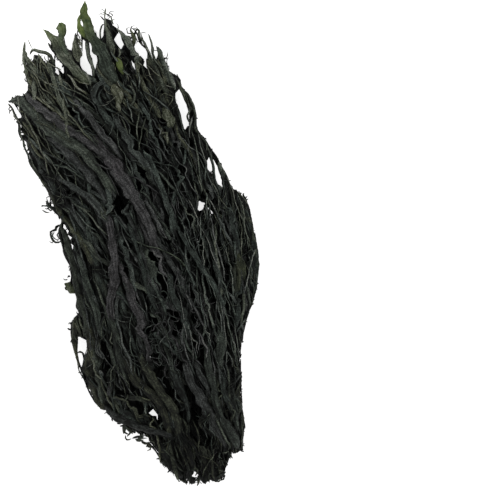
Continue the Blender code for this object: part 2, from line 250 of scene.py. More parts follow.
class Cell:
    def __init__(self, layer, number):
        self.layer, self.number = layer, number
        low_w, high_w = layer.through
        self.middle_w, self.half_w = (low_w + high_w) / 2, (high_w - low_w) / 2

    def points(self, q, h, s):
        low, high = self.layer.wall(self.number, s), self.layer.wall(self.number + 1, s)
        return sheaf_points((low + high) / 2 + q * (high - low) / 2, s, self.middle_w + h * self.half_w)

    def fit(self, s, q, h, corners, tilt):
        """Where the solids' rule puts a section of these corners: its middle, and how far it is shrunk."""
        sides = self.points(np.array((-1, 1)), 0, np.array((s, s)))
        width = np.linalg.norm(sides[1] - sides[0]) / 2
        floor_and_top = self.points(np.array((q, q)), np.array((-1, 1)), np.array((s, s)))
        height = (floor_and_top[1, 2] - floor_and_top[0, 2]) / 2
        at_left = self.number == 0 and self.layer.across[0] == 0
        at_right = self.number == self.layer.fronds - 1 and self.layer.across[1] == LAST
        left, right = (EDGE_ROOM if open_side else -CLEARANCE for open_side in (at_left, at_right))
        up = TOP_ROOM if self.layer.top else -CLEARANCE
        limits = ((-1 - left / width, 1 + right / width), (-1 + CLEARANCE / height, 1 + up / height))
        c, d = math.cos(tilt), math.sin(tilt)
        offsets = np.array([((a * c - b * d) / width, (a * d + b * c) / height) for a, b in corners])
        reach = np.abs(offsets).max(0)
        room = np.array([(high - low) / 2 for low, high in limits])
        scale = np.minimum(1, 0.98 * room / reach)
        middle = [within(value, one, limit) for value, one, limit in zip((q, h), reach * scale, limits)]
        return np.array(middle), offsets * scale


UNDER_LAYER = Layer((0, LAST), (0.0, 0.26), 6, lean=-1.2)
INNER_LAYER = Layer((0.6, 7.4), (0.26, 0.58), 5, phase=2.0)
UPPER_LAYER = Layer((0, LAST), (0.58, 0.84), 8, lean=0.9, phase=4.0)
TOP_LAYER = Layer((0.9, 7.1), (0.84, 1.04), 5, lean=-2.4, phase=1.0, top=True)
print("fronds:", sum(layer.fronds for layer in (UNDER_LAYER, INNER_LAYER, UPPER_LAYER, TOP_LAYER)))

# %% [markdown]
# ## The solids' own lines
#
# The fine fronds have to lie where the solids are. So this step draws the same random numbers in the same
# order as the solids did, and keeps for each blade and lobe the line it follows and how wide it is. A station
# is a place where the solid bends, about every 20 mm.

# %% Lines of the blades and lobes
STATION = 0.45
BLADE_SWING = (0.32, 0.12)
BLADE_RISE = 0.16
BLADE_SWELL = (0.65, 1.1)
FOLD = (0.2, 0.7)
CREASE_PLACE = (-0.35, 0.35)
BLADE_TILT = 0.35
BLADE_JOLT = 0.2
LOBE_SWING = 0.10
LOBE_RISE = 0.15
LOBE_SWELL = (0.6, 1.0)
LOBE_TAPER = 0.7
TUMBLE = 0.55
RIBBON_SIZE = (1.3, 3.2)
STRING_SIZE = (0.6, 0.95)
LOBE_LENGTH = (1.6, 2.8)
LANE = (0.55, 0.95)
FLUTES = 4
FLUTE_DEPTH = (0.5, 0.75)


def smooth(t):
    t = min(max(t, 0), 1)
    return t * t * (3 - 2 * t)


def blade_line(cell, start, end, half_width, level, rng):
    """The stations of a solid's blade as rows of s, q, h, half width, fold and tilt, and its lobes' seats."""
    steps = max(round((end - start) / STATION), 2)
    phases = [rng.uniform(0, 2 * math.pi) for _ in range(4)]
    pace = rng.uniform(0.9, 1.4)
    rows, seats = [], []
    for step in range(steps + 1):
        t = step / steps
        s = start + (end - start) * t
        q = BLADE_SWING[0] * math.sin(pace * s + phases[0]) + BLADE_SWING[1] * math.sin(2.6 * s + phases[1])
        h = level + BLADE_RISE * math.sin(1.7 * s + phases[2])
        taper = (0.4 + 0.6 * smooth(t * 6)) * (0.2 + 0.8 * smooth((1 - t) * 4))
        half = half_width * taper * rng.uniform(*BLADE_SWELL)
        fold = half * rng.uniform(*FOLD) * math.copysign(1, math.sin(0.8 * s + phases[3]))
        tilt = BLADE_TILT * math.sin(1.3 * s + phases[3]) + rng.uniform(-BLADE_JOLT, BLADE_JOLT)
        crease = rng.uniform(*CREASE_PLACE)
        line = ((-half, 0), (crease * half, fold), (half, 0.3 * fold))
        corners = [(a, b - SOLID_BLADE / 2) for a, b in line] + [(a, b + SOLID_BLADE / 2) for a, b in line[::-1]]
        middle, offsets = cell.fit(s, q, h, corners, tilt)
        left, top, right = (middle + (offsets[k] + offsets[5 - k]) / 2 for k in range(3))
        rows.append((s, *middle, half, fold, tilt))
        seats.append({-1: (left + top) / 2, 1: (right + top) / 2})
    return np.array(rows), seats


def lobe_line(cell, rows, seats, first, length, side, lane, level, flat, size, rng):
    """The stations of one lobe of a solid's blade, as rows like the blade's."""
    start = rows[first, 0]
    end = min(start + length, LAST - 0.04)
    steps = max(round((end - start) / STATION), 3)
    phases = [rng.uniform(0, 2 * math.pi) for _ in range(2)]
    made = []
    for step in range(steps + 1):
        t = step / steps
        s = start + (end - start) * t
        seat = seats[min(first + step, len(seats) - 1)][side]
        leave = smooth(step / 2)
        q = seat[0] + (side * lane - seat[0] + LOBE_SWING * math.sin(7 * t + phases[0])) * leave
        h = seat[1] + (level - seat[1] + LOBE_RISE * math.sin(6 * t + phases[1])) * leave
        half = max(size * rng.uniform(*LOBE_SWELL) * (1 - LOBE_TAPER * t**5), SOLID_BLADE / 2)
        thick = SOLID_BLADE / 2 if flat else half
        tilt = rng.uniform(-TUMBLE, TUMBLE) * leave
        middle, _ = cell.fit(s, q, h, [(-half, -thick), (half, thick), (half, -thick)], tilt)
        made.append((s, *middle, half, 0.0, tilt))
    return np.array(made)


def frond_lines(cell, rng, ends, half_width, level, lobes, levels):
    """Every line of one frond: first its blade, then its lobes, each with whether it is a ribbon."""
    start, end = (limit + rng.uniform(-0.2, 0.2) for limit in ends)
    rows, seats = blade_line(cell, max(start, 0.03), min(end, LAST - 0.06), half_width, level, rng)
    last_seat = len(rows) - 3
    lines = [(rows, "blade")]
    for number in range(lobes):
        first = min(round(last_seat * (number + rng.uniform(0.1, 0.9)) / lobes), last_seat)
        side = 1 if number % 2 else -1
        flat = number % 3 != 2
        sizes = RIBBON_SIZE if flat else STRING_SIZE
        size, length, lane, rise = (rng.uniform(*limits) for limits in (sizes, LOBE_LENGTH, LANE, levels))
        rows_of_lobe = lobe_line(cell, rows, seats, first, length, side, lane, rise, flat, size, rng)
        lines.append((rows_of_lobe, "ribbon" if flat else "string"))
    return lines


def skip_wad(start, end, rng):
    """Takes the random numbers that the solid of one hidden frond took, so that the next frond's are right."""
    rng.uniform(0, 2 * math.pi)
    for _ in range((round((end - start) / STATION / 1.4) + 1) * FLUTES):
        rng.uniform(*FLUTE_DEPTH)


draws = random.Random(71)
FRONDS = {}
for number, cell in enumerate(UNDER_LAYER.cells(), 1):
    FRONDS[f"frond_under_{number}"] = cell, frond_lines(cell, draws, (0.2, 7.3), 7.0, -0.2, 4, (-0.8, 0.4))
for number, cell in enumerate(INNER_LAYER.cells(), 1):
    skip_wad(0.12, 7.4, draws)
    FRONDS[f"frond_inner_{number}"] = cell, []
for number, cell in enumerate(UPPER_LAYER.cells(), 1):
    FRONDS[f"frond_upper_{number}"] = cell, frond_lines(cell, draws, (0.25, 7.5), 5.0, -0.2, 6, (-0.5, 0.9))
for number, cell in enumerate(TOP_LAYER.cells(), 1):
    FRONDS[f"frond_top_{number}"] = cell, frond_lines(cell, draws, (0.5, 6.5), 3.2, 0.0, 3, (-0.4, 0.9))
print("lines:", sum(len(lines) for _, lines in FRONDS.values()))

# %% [markdown]
# ## Where the sheaf shows white
#
# The sheaf's outline is uneven, and between the loose tips the table shows. These outlines are in pixels of the
# view. No strand is drawn outside the first one or inside the others, and a strand that passes one of them
# grows narrow on that side, as the torn blades do.

# %% Outline and openings in the view
OUTLINE = [
    (8, 99), (19, 94), (27, 92), (28, 84), (24, 76), (22, 62), (22, 50), (24, 38), (27, 42), (28, 56), (33, 60),
    (39, 62), (44, 61), (50, 59), (54, 66), (58, 67), (63, 66), (56, 58), (51, 50), (46, 43), (47, 38), (45, 33),
    (42, 29), (47, 29), (52, 33), (58, 36), (56, 30), (56, 26), (59, 23), (64, 25), (67, 30), (67, 34), (65, 37),
    (66, 46), (71, 51), (72, 44), (74, 38), (74, 34), (77, 32), (77, 22), (79, 20), (81, 15), (80, 10), (82, 4),
    (85, 0), (87, 2), (88, 10), (90, 17), (92, 23), (92, 27), (96, 31), (98, 37), (101, 41), (104, 37), (103, 33),
    (104, 18), (104, 11), (106, 7), (108, 9), (108, 20), (110, 29), (109, 18), (111, 15), (113, 20), (115, 27),
    (122, 30), (125, 34), (129, 37), (131, 30), (137, 28), (142, 34), (147, 46), (150, 52), (148, 34), (151, 36),
    (154, 48), (156, 42), (161, 47), (165, 58), (170, 72), (180, 76), (182, 86), (188, 95), (194, 104), (197, 118),
    (197, 128), (204, 137), (209, 145), (217, 156), (222, 166), (227, 176), (232, 188), (240, 191), (247, 196),
    (251, 214), (256, 235), (260, 262), (258, 288), (251, 308), (246, 325), (241, 350), (242, 375), (243, 410),
    (246, 426), (243, 451), (231, 456), (226, 468), (222, 482), (206, 484), (182, 485), (172, 475), (160, 464),
    (155, 451), (145, 445), (150, 438), (128, 433), (114, 421), (104, 413), (92, 399), (86, 387), (79, 373),
    (75, 357), (70, 339), (68, 323), (78, 313), (79, 300), (75, 294), (64, 288), (65, 280), (69, 268), (70, 254),
    (68, 243), (64, 229), (61, 219), (52, 212), (41, 205), (48, 193), (41, 182), (29, 164), (23, 148), (18, 124),
    (7, 106),
]
OPENINGS = [
    [(83, 41), (85, 43), (86, 54), (88, 61), (90, 67), (81, 66), (81, 61), (83, 52)],
    [(84, 69), (90, 69), (92, 76), (88, 73)], [(88, 45), (91, 47), (96, 58), (95, 67), (93, 63), (90, 55)],
    [(33, 54), (38, 54), (42, 57), (43, 60), (38, 61), (33, 58)], [(55, 71), (57, 70), (60, 72), (58, 75), (55, 75)],
    [(62, 70), (66, 70), (66, 73), (62, 73)],
    [(112, 31), (116, 31), (119, 34), (121, 40), (124, 46), (123, 50), (119, 47), (115, 41)],
    [(135, 40), (137, 41), (145, 50), (146, 57), (143, 57), (136, 50)], [(122, 58), (125, 58), (125, 61), (122, 61)],
    [(129, 63), (133, 63), (135, 69), (134, 73), (130, 69)], [(142, 60), (146, 63), (146, 69), (145, 70), (143, 65)],
    [(139, 67), (141, 68), (143, 74), (140, 74)], [(149, 50), (151, 52), (153, 60), (151, 60)],
    [(155, 50), (157, 52), (156, 58), (154, 57)],
    [(177, 88), (181, 94), (185, 104), (188, 112), (187, 128), (184, 128), (181, 112), (176, 100)],
    [(190, 140), (193, 141), (192, 147), (190, 146)], [(144, 147), (148, 149), (150, 153), (146, 153)],
    [(207, 152), (210, 154), (211, 170), (208, 170)],
    [(213, 160), (217, 168), (220, 178), (222, 188), (221, 193), (217, 186), (214, 172)],
    [(203, 193), (205, 197), (203, 206), (200, 213), (198, 212), (199, 204)],
    [(211, 205), (213, 207), (213, 216), (211, 216)],
    [(63, 220), (66, 222), (69, 229), (65, 231)], [(70, 233), (73, 240), (72, 252), (69, 248), (68, 240)],
    [(27, 148), (29, 150), (28, 155), (26, 153)], [(11, 105), (16, 108), (21, 116), (20, 122), (15, 114)],
    [(79, 339), (84, 338), (87, 342), (84, 350), (79, 352)],
    [(78, 354), (81, 354), (83, 357), (82, 363), (80, 367), (78, 362)],
    [(96, 381), (98, 381), (98, 384), (96, 384)],
    [(82, 349), (85, 349), (85, 353), (83, 354)],
    [(148, 408), (152, 408), (156, 415), (151, 417)], [(80, 22), (83, 22), (83, 25), (80, 25)],
]
# How much bigger than drawn the openings are, to leave room for the ragged edges round them.
OPENING_GROWTH = 1.15
RINGS = [np.array(OUTLINE, float)]
for ring in OPENINGS:
    middle = np.mean(ring, axis=0)
    RINGS.append(middle + OPENING_GROWTH * (np.array(ring) - middle))
RING_STARTS = np.concatenate(RINGS)
RING_ENDS = np.concatenate([np.roll(ring, -1, axis=0) for ring in RINGS])
RIGHT = np.array((math.cos(LEAN), -math.sin(LEAN)))
UP = np.array((math.sin(LEAN), math.cos(LEAN)))
HALF_VIEW = VIEW_PIXELS / 2


def to_view(points):
    """The pixel at which each point in millimetres is seen."""
    pixel = PIXEL / MM * (VIEW_MIDDLE[2] + CAMERA_HEIGHT - points[:, 2] * MM) / CAMERA_HEIGHT
    offset = points[:, :2] - VIEW_MIDDLE[:2] / MM
    return HALF_VIEW + np.column_stack([offset @ RIGHT, -(offset @ UP)]) / pixel[:, None]


def from_view(pixels, z):
    """The points in millimetres, at heights z, that are seen at these pixels."""
    pixel = PIXEL / MM * (VIEW_MIDDLE[2] + CAMERA_HEIGHT - z * MM) / CAMERA_HEIGHT
    offset = (pixels - HALF_VIEW) * pixel[:, None]
    return np.column_stack([VIEW_MIDDLE[:2] / MM + offset[:, :1] * RIGHT - offset[:, 1:] * UP, z])


def shows_dark(points):
    """Whether each point lies inside the outline and outside every opening."""
    pixels = to_view(points)
    x, y = pixels[:, :1], pixels[:, 1:]
    (x0, y0), (x1, y1) = RING_STARTS.T, RING_ENDS.T
    rise = np.where(y1 == y0, 1.0, y1 - y0)
    crossed = ((y0 > y) != (y1 > y)) & (x < (x1 - x0) * (y - y0) / rise + x0)
    return crossed.sum(1) % 2 == 1


print("points of the outline:", len(OUTLINE), "openings:", len(OPENINGS))

# %% [markdown]
# ## Dark pockets
#
# Among the ribbons there are dark pockets, where the top strands leave a gap and one looks down into the heart
# of the sheaf. Strands near the top part round a pocket, and those that run through it deeper down are darkened
# with painted shade.

# %% Pockets
# Their middles and half sizes in pixels of the view, and how far each leans from upright in degrees.
POCKETS = [
    (137, 137, 6, 17, 18), (175, 323, 6, 19, 25), (106, 357, 6, 21, 12), (119, 206, 8, 9, 20), (201, 359, 4, 18, 3),
    (162, 284, 4, 18, 22), (151, 328, 5, 14, -8), (189, 220, 4, 13, 14), (196, 318, 3, 15, 4), (162, 126, 3, 13, 22),
    (155, 132, 3, 9, 2), (94, 225, 3, 13, 30), (132, 388, 7, 7, 20), (138, 406, 5, 12, 75), (157, 421, 5, 8, 15),
    (181, 172, 3, 11, -2), (154, 258, 4, 9, 20), (166, 242, 4, 5, 45), (191, 290, 4, 12, 4), (225, 272, 3, 15, 15),
    (200, 244, 2, 10, 20), (209, 266, 2, 10, 25), (206, 308, 3, 4, 30),
    (228, 308, 2, 9, 8), (241, 300, 2, 10, 5), (221, 215, 1.5, 12, 5), (229, 214, 1.5, 12, 3), (237, 218, 1.5, 12, 2),
    (233, 262, 1.5, 14, 12), (247, 252, 1.5, 14, 5), (205, 228, 1.5, 10, 10), (214, 300, 2, 9, 15),
    (192, 262, 2, 10, 22),
    (180, 225, 2, 10, 12), (194, 340, 2, 9, 10), (214, 345, 2, 12, 2), (186, 196, 1.5, 9, 5), (196, 180, 1.5, 9, 12),
    (208, 190, 1.5, 10, 15), (176, 110, 2, 8, 20), (160, 90, 2, 9, 20), (146, 118, 2, 8, 30), (168, 150, 2, 9, 20),
    (229, 411, 3, 8, 18), (157, 366, 6, 15, 33), (170, 391, 4, 16, 33), (180, 412, 3, 14, 15), (180, 366, 4, 16, 20),
    (192, 396, 6, 16, 22), (197, 424, 10, 30, 0),
    (221, 457, 5, 9, -45), (197, 475, 3, 8, -80), (140, 186, 3, 9, 25),
    (143, 199, 2, 7, 18), (129, 246, 3, 8, 50), (127, 270, 2, 8, 26), (123, 385, 3, 6, -14), (218, 248, 3, 8, -7),
    (234, 372, 2, 8, 0), (142, 171, 3, 6, 6), (176, 144, 2, 7, 20), (207, 333, 2, 7, 12), (71, 192, 2, 7, 50),
    (215, 203, 2, 10, -8), (117, 394, 3, 6, 56), (128, 55, 5, 7, 20), (72, 112, 3, 9, 10), (220, 393, 2, 9, 17),
]
# Strands less than this many millimetres below the top part round a pocket, if they are above this share of it.
POCKET_DEPTH = 9.0
POCKET_FLOOR = 0.45
# A pocket narrows to its ends, and its sides bend and wave by these shares of its half width.
POCKET_BEND = 0.6
POCKET_WAVE = 0.4
# The share of its half width that stays free of edges, and how much painted shade darkens the strands deep in it.
POCKET_RIM = 0.75
POCKET_SHADE = 4.0
POCKET_MIDDLES = np.array([pocket[:2] for pocket in POCKETS], float)
POCKET_HALVES = np.array([pocket[2:4] for pocket in POCKETS], float)
POCKET_LEANS = np.radians([pocket[4] for pocket in POCKETS])
POCKET_ACROSS = np.column_stack([np.cos(POCKET_LEANS), -np.sin(POCKET_LEANS)])
POCKET_ALONG = np.column_stack([np.sin(POCKET_LEANS), np.cos(POCKET_LEANS)])


def pockets_at(points):
    """The place of each point across each pocket, and the pocket's half width there: a row for each point."""
    offset = to_view(points)[:, None] - POCKET_MIDDLES
    across = np.einsum("npk,pk->np", offset, POCKET_ACROSS)
    share = np.einsum("npk,pk->np", offset, POCKET_ALONG) / POCKET_HALVES[:, 1]
    phase, width = POCKET_MIDDLES[:, 0], POCKET_HALVES[:, 0]
    across = across + POCKET_BEND * width * np.sin(3.3 * share + phase)
    return across, width * np.clip(1 - share**2, 0, 1) * (1 + POCKET_WAVE * np.sin(7 * share + 2 * phase))


def in_pocket(points):
    """Whether each point is seen in a dark pocket."""
    across, half = pockets_at(points)
    return (np.abs(across) < POCKET_RIM * half).any(1)


def part_at_pockets(points):
    """Moves the points seen in and near a dark pocket to its sides, as strands part round a gap."""
    across, half = pockets_at(points)
    moved = np.where(np.abs(across) < 2 * half, np.sign(across) * (half - np.abs(across) / 2), 0)
    return from_view(to_view(points) + moved @ POCKET_ACROSS, points[:, 2])


print("pockets:", len(POCKETS))

# %% [markdown]
# ## The top of the sheaf
#
# What lies over the sheaf follows its top. The height of the top is worked out once, on a grid over the table
# that is wide enough for what sticks out.

# %% Height of the top
TOP_CELL = 2.0
TOP_REACH = np.array((110.0, 225.0))
grid_v, grid_s = (values.ravel() for values in np.meshgrid(np.linspace(0, LAST, 65), np.linspace(0, LAST, 161)))
crest = sheaf_points(grid_v, grid_s, 1.0)
crest_tree = kdtree.KDTree(len(crest))
for number, (x, y, _) in enumerate(crest):
    crest_tree.insert((x, y, 0), number)
crest_tree.balance()
TOP = np.array([[crest[crest_tree.find((x, y, 0))[1], 2] for y in np.arange(-TOP_REACH[1], TOP_REACH[1], TOP_CELL)]
                for x in np.arange(-TOP_REACH[0], TOP_REACH[0], TOP_CELL)])


def top_height(points):
    """The height in millimetres of the sheaf's top over each point."""
    at = np.clip((points[:, :2] + TOP_REACH) / TOP_CELL, 0, np.array(TOP.shape) - 1.001)
    low = at.astype(int)
    fx, fy = (at - low).T
    x, y = low.T
    return ((1 - fx) * ((1 - fy) * TOP[x, y] + fy * TOP[x, y + 1])
            + fx * ((1 - fy) * TOP[x + 1, y] + fy * TOP[x + 1, y + 1]))


print("highest point of the top, mm:", round(float(TOP.max()), 1))

# %% [markdown]
# ## Curves and crumples
#
# A strand follows a smooth curve through a few places. Dried blades kink as they shrink, so each strand also
# bends a little every few millimetres, and sways in long waves from end to end.

# %% Curves and crumples
# Lengths and heights of the long waves, and the kinks' heights as shares and the steps between them, in mm.
WAVES = ((75, 0.9), (29, 0.3), (12, 0.1))
KINK_STEPS = ((1, 9), (0.4, 4))


def through(values, t):
    """A Catmull-Rom curve through rows of values, at each t from 0 to their last number."""
    last = len(values) - 1
    first = np.clip(np.floor(t).astype(int), 0, last - 1)
    f = (t - first)[:, None]
    a, b, c, d = (values[np.clip(first + k, 0, last)] for k in (-1, 0, 1, 2))
    return 0.5 * (2 * b + (c - a) * f + (2 * a - 5 * b + 4 * c - d) * f**2 + (3 * b - a - 3 * c + d) * f**3)


def arc_length(points):
    return np.concatenate([[0], np.cumsum(np.linalg.norm(np.diff(points, axis=0), axis=1))])


def ragged(along, rng, reach, step):
    """A value for each place along a strand that changes at random every few millimetres."""
    knots = np.arange(0, along[-1] + 2 * step, step)
    return np.interp(along, knots, [rng.uniform(-reach, reach) for _ in knots])


def crumple(along, rng, kink, sway):
    """An offset in millimetres for each place along a strand: long waves with kinks between them."""
    made = sum(ragged(along, rng, kink * share, step) for share, step in KINK_STEPS)
    for length, height in WAVES:
        made += sway * height * np.sin(2 * math.pi * along / (length * rng.uniform(0.75, 1.3)) + rng.uniform(0, 6.3))
    return made


def smoothed(values, reach):
    """Values averaged with their neighbours."""
    padded = np.pad(values, reach, mode="edge")
    return np.convolve(padded, np.ones(2 * reach + 1) / (2 * reach + 1), mode="valid")


print("long waves and kinks, mm:", WAVES, KINK_STEPS)

# %% [markdown]
# ## How the sheaf colours as it dries
#
# The thick midribs in the heart of a sheaf turn grey with a purple cast, at a tint of -1. The thin blades along
# its edges, at its tips and at its foot turn olive, at a tint of 1. Strands are paler at the edges and darker at
# the folded foot, and the tips are paler still, partly as painted light. So a strand's colour follows a rule
# about its place in the sheaf.

# %% Colour by place
# Tips and foot begin to count, and count in full, at these shares of half the sheaf's length.
HALF_SIZE = np.array((80.0, 196.0))
TIP_ENDS = (0.35, 0.7)
FOOT_ENDS = (0.5, 0.9)
HEART_TINT, EDGE_TINT, END_TINT, TINT_SPREAD = -0.3, 0.7, 0.9, 0.6
# How much paler than plain: the tips' extra paleness is partly painted light.
HEART_PALER, EDGE_PALER, TIP_PALER, FOOT_PALER = -0.05, 0.4, 1.2, -0.6


def dried_colour(point):
    """The tint of a strand whose middle is at this point, and how much paler than plain it is."""
    across, along = point[:2] / HALF_SIZE
    edge = min(abs(across), 1) ** 1.5
    tip, foot = np.interp(along, TIP_ENDS, (0, 1)), np.interp(-along, FOOT_ENDS, (0, 1))
    return (HEART_TINT + EDGE_TINT * edge + END_TINT * max(tip, foot),
            HEART_PALER + EDGE_PALER * edge + TIP_PALER * tip + FOOT_PALER * foot)


print("tint and paleness in the heart and at the tips:", dried_colour(np.zeros(2)), dried_colour(HALF_SIZE * (0, 1)))

# %% [markdown]
# ## From a line to a strand
#
# A strand is a fine line with what its skin needs at each point: how wide it is to its left and right, how
# thick it is, how its section curls, how it tips, and how pale, olive or green it is. Its two edges are ragged
# on their own.

# %% Strands
# The step between a strand's points in millimetres, the number of each kind in the skin's tree, and how much
# the kind kinks.
FINE_STEP = {"blade": 2.2, "ribbon": 2.1, "strap": 2.0, "string": 2.0, "hidden": 3.6}
KIND = {"blade": 0, "ribbon": 1, "string": 2, "hidden": 3, "strap": 4}
KINK = {"blade": 0.6, "ribbon": 0.8, "strap": 0.9, "string": 0.9, "hidden": 0.5}
KINK_UPWARDS = 0.7
FEWEST_POINTS = 5
LONGEST_STEP = 2.0
LOWEST = 0.8
PER_POINT = ("left", "right", "thick", "curl", "tilt", "green", "along", "shade", "number", "tint")
# The share of strings and straps that cross the pockets all the same.
CROSSING = 0.25
# How ragged an edge is, as a share of the half width, and how it narrows beside an opening.
STRING_RAG, BLADE_RAG = 0.1, 0.32
RAG_STEPS = (5, 2.4)
RIM_TRIES, RIM_NARROWING = 4, 0.62
# The palest a plain strand gets, and a power that makes pale ones few.
PALEST, PALE_FEW = 1.25, 1.5
# A strand's own curl, and how far its curl and tilt change and over how many millimetres.
OWN_CURL = (-1.5, 0.2)
CURL_CHANGE = (0.8, 12)
TILT_CHANGE = (0.3, 14)
# An end is this share of the full width, and the taper is this long in millimetres.
END_WIDTH, END_TAPER = 0.25, 6
STRING_THICKNESS = 0.4


def strands_of(points, half, kind, rng, curl=None, tilt=0.0, kink=1.0, green=0.0, shade=None, tint=None,
               thick=0.24, free=False, sway=1.0, parted=True, paler=0.0):
    """The strands along points in millimetres: one, or more where the view's openings cut it.

    half, curl, tilt and green are numbers or one for each point. kink and sway are how much it crumples and
    waves. A free strand isn't cut by the outline and the openings, and one that isn't parted ignores the
    pockets. shade and tint are drawn at random and by place where they aren't given, and paler is added then.
    """
    along = arc_length(points)
    count = max(int(along[-1] / FINE_STEP[kind]), FEWEST_POINTS)
    fine = np.linspace(0, along[-1], count)
    points = np.column_stack([np.interp(fine, along, points[:, k]) for k in range(3)])
    half, tilt, green = (np.interp(fine, along, np.broadcast_to(value, along.shape)) for value in (half, tilt, green))
    if curl is None:
        curl = rng.uniform(*OWN_CURL)
    curl = np.interp(fine, along, np.broadcast_to(curl, along.shape))
    tangent = np.gradient(points, axis=0)
    side = np.column_stack([tangent[:, 1], -tangent[:, 0], np.zeros(count)])
    side /= np.linalg.norm(side, axis=1)[:, None] + 1e-9
    points = points + side * crumple(fine, rng, kink * KINK[kind], sway)[:, None]
    points[:, 2] += KINK_UPWARDS * crumple(fine, rng, kink * KINK[kind], 1.0)
    top = top_height(points)
    shallow = (top - points[:, 2] < POCKET_DEPTH) & (points[:, 2] > POCKET_FLOOR * top)
    # Painted shade: strands that run deep through a pocket are darkened.
    dim = in_pocket(points) & ~shallow & parted
    if not parted or kind in ("string", "strap") and rng.random() < CROSSING:
        shallow[:] = False
    keep = np.ones(count, bool)
    if not free:
        points[shallow] = part_at_pockets(points[shallow])
        jump = np.linalg.norm(np.diff(points, axis=0, append=points[-1:]), axis=1) > LONGEST_STEP * FINE_STEP[kind]
        keep = shows_dark(points) & ~jump
        points[:, 2] = np.maximum(points[:, 2], LOWEST)
    rag = STRING_RAG if kind == "string" else BLADE_RAG
    widths = []
    for direction in (-1, 1):
        width = half * (1 + ragged(fine, rng, rag, RAG_STEPS[0]) + ragged(fine, rng, rag / 2, RAG_STEPS[1]))
        if not free:
            for _ in range(RIM_TRIES):
                rim = points + direction * side * width[:, None]
                width[~shows_dark(rim) | in_pocket(rim) & shallow] *= RIM_NARROWING
        widths.append(width)
    own_tint, own_paler = dried_colour(points[count // 2])
    shade = PALEST * rng.random() ** PALE_FEW + own_paler + paler if shade is None else shade
    tint = own_tint + rng.uniform(-TINT_SPREAD, TINT_SPREAD) if tint is None else tint
    number = rng.random() * 100
    curl = curl + ragged(fine, rng, *CURL_CHANGE)
    tilt = tilt + ragged(fine, rng, *TILT_CHANGE)
    made = []
    edges = np.flatnonzero(np.diff(np.concatenate([[0], keep.astype(int), [0]])))
    for start, stop in zip(edges[::2], edges[1::2]):
        if stop - start < FEWEST_POINTS:
            continue
        part = slice(start, stop)
        run = fine[part] - fine[start]
        grown = np.sqrt(np.clip(np.minimum(run, run[-1] - run) / END_TAPER, 0, 1))
        narrow = END_WIDTH + (1 - END_WIDTH) * grown
        size = stop - start
        left, right = (width[part] * narrow for width in widths)
        made.append(dict(
            points=points[part], kind=KIND[kind], left=left, right=right,
            thick=(left + right) * STRING_THICKNESS if kind == "string" else np.full(size, thick),
            curl=curl[part], tilt=tilt[part], green=green[part], along=fine[part],
            # The shade is lowered in pockets: painted shade.
            shade=shade - POCKET_SHADE * dim[part], number=np.full(size, number), tint=np.full(size, tint),
        ))
    return made


print("steps along a strand, mm:", FINE_STEP)

# %% [markdown]
# ## Where strands come from
#
# Some follow the solids' own lines, some drift loosely through a frond's cell, and short curly twigs leave both.

# %% Sources of strands
POINTS_A_STATION = 12
FOLD_CURL = -2.0
THINNEST = 0.35
DRIFT_STEP = 0.6
TWIG_STEP = 1.2
TWIG_SIZE = (0.42, 0.2)


def along_rows(cell, rows, kind, rng, **more):
    """The strands along a solid's stations."""
    t = np.linspace(0, len(rows) - 1, POINTS_A_STATION * len(rows))
    s, q, h, half, fold, tilt = through(rows, t).T
    curl = FOLD_CURL * fold / np.maximum(half, 1.0)
    return strands_of(cell.points(q, h, s), np.maximum(half, THINNEST), kind, rng, curl=curl, tilt=tilt, **more)


def drifting(cell, rng, kind, half, ends=(0.1, 7.7), length=(1.0, 3.6), spill=1.2, **more):
    """Strands that the solids leave out. They drift through their cell and may spill over its walls."""
    start = rng.uniform(ends[0], ends[1] - length[0])
    end = min(start + rng.uniform(*length), ends[1])
    knots = max(round((end - start) / DRIFT_STEP), 2) + 1
    s = np.linspace(start, end, knots)
    lane, drift = rng.uniform(-0.9, 0.9), rng.uniform(-0.9, 0.9)
    q = lane + drift * np.linspace(-1, 1, knots) + np.array([rng.uniform(-0.2, 0.2) for _ in s])
    level, rise = rng.uniform(-0.8, 0.9), rng.uniform(-0.5, 0.5)
    h = np.clip(level + rise * np.linspace(-1, 1, knots), -1, 1)
    t = np.linspace(0, knots - 1, 10 * knots)
    s, q, h = through(np.column_stack([s, np.clip(q, -spill, spill), h]), t).T
    size = half * rng.uniform(0.7, 1.3) * (0.55 + 0.45 * np.sin(math.pi * np.linspace(0.08, 0.92, len(t))))
    return strands_of(cell.points(q, h, s), size, kind, rng, **more)


def twig(strand, rng, length=(3, 11)):
    """A short curly string that leaves a strand somewhere along it."""
    at = rng.randrange(1, len(strand["points"]) - 1)
    tangent = strand["points"][at + 1] - strand["points"][at - 1]
    heading = math.atan2(tangent[1], tangent[0]) + rng.choice((-1, 1)) * rng.uniform(0.3, 1.5)
    bend, rise = rng.uniform(-0.22, 0.22), rng.uniform(-0.1, 0.35)
    points = [strand["points"][at]]
    for _ in range(max(round(rng.uniform(*length) / TWIG_STEP), 3)):
        heading += bend + rng.uniform(-0.3, 0.3)
        points.append(points[-1] + TWIG_STEP * np.array((math.cos(heading), math.sin(heading), rise)))
    size = np.linspace(*TWIG_SIZE, len(points)) * rng.uniform(0.7, 1.3)
    return strands_of(np.array(points), size, "string", rng, kink=0.2, shade=strand["shade"][at])


print("thinnest half width, mm:", THINNEST)

# %% [markdown]
# ## The skin of a strand
#
# Geometry Nodes sweep a closed ring of points along every strand. Each point of the ring knows how far across
# the strand it lies, so the tree can curl the blade, ridge it and crumple it, alike on its two faces, which
# keeps it thin. The strands come in as a mesh of loose edges whose points carry the sizes as attributes, and
# wide blades get more points to the ring than strings.

# %% Geometry Nodes tree
# How many points the ring of each kind has.
RING = {"blade": 22, "ribbon": 15, "strap": 8, "string": 5, "hidden": 6}


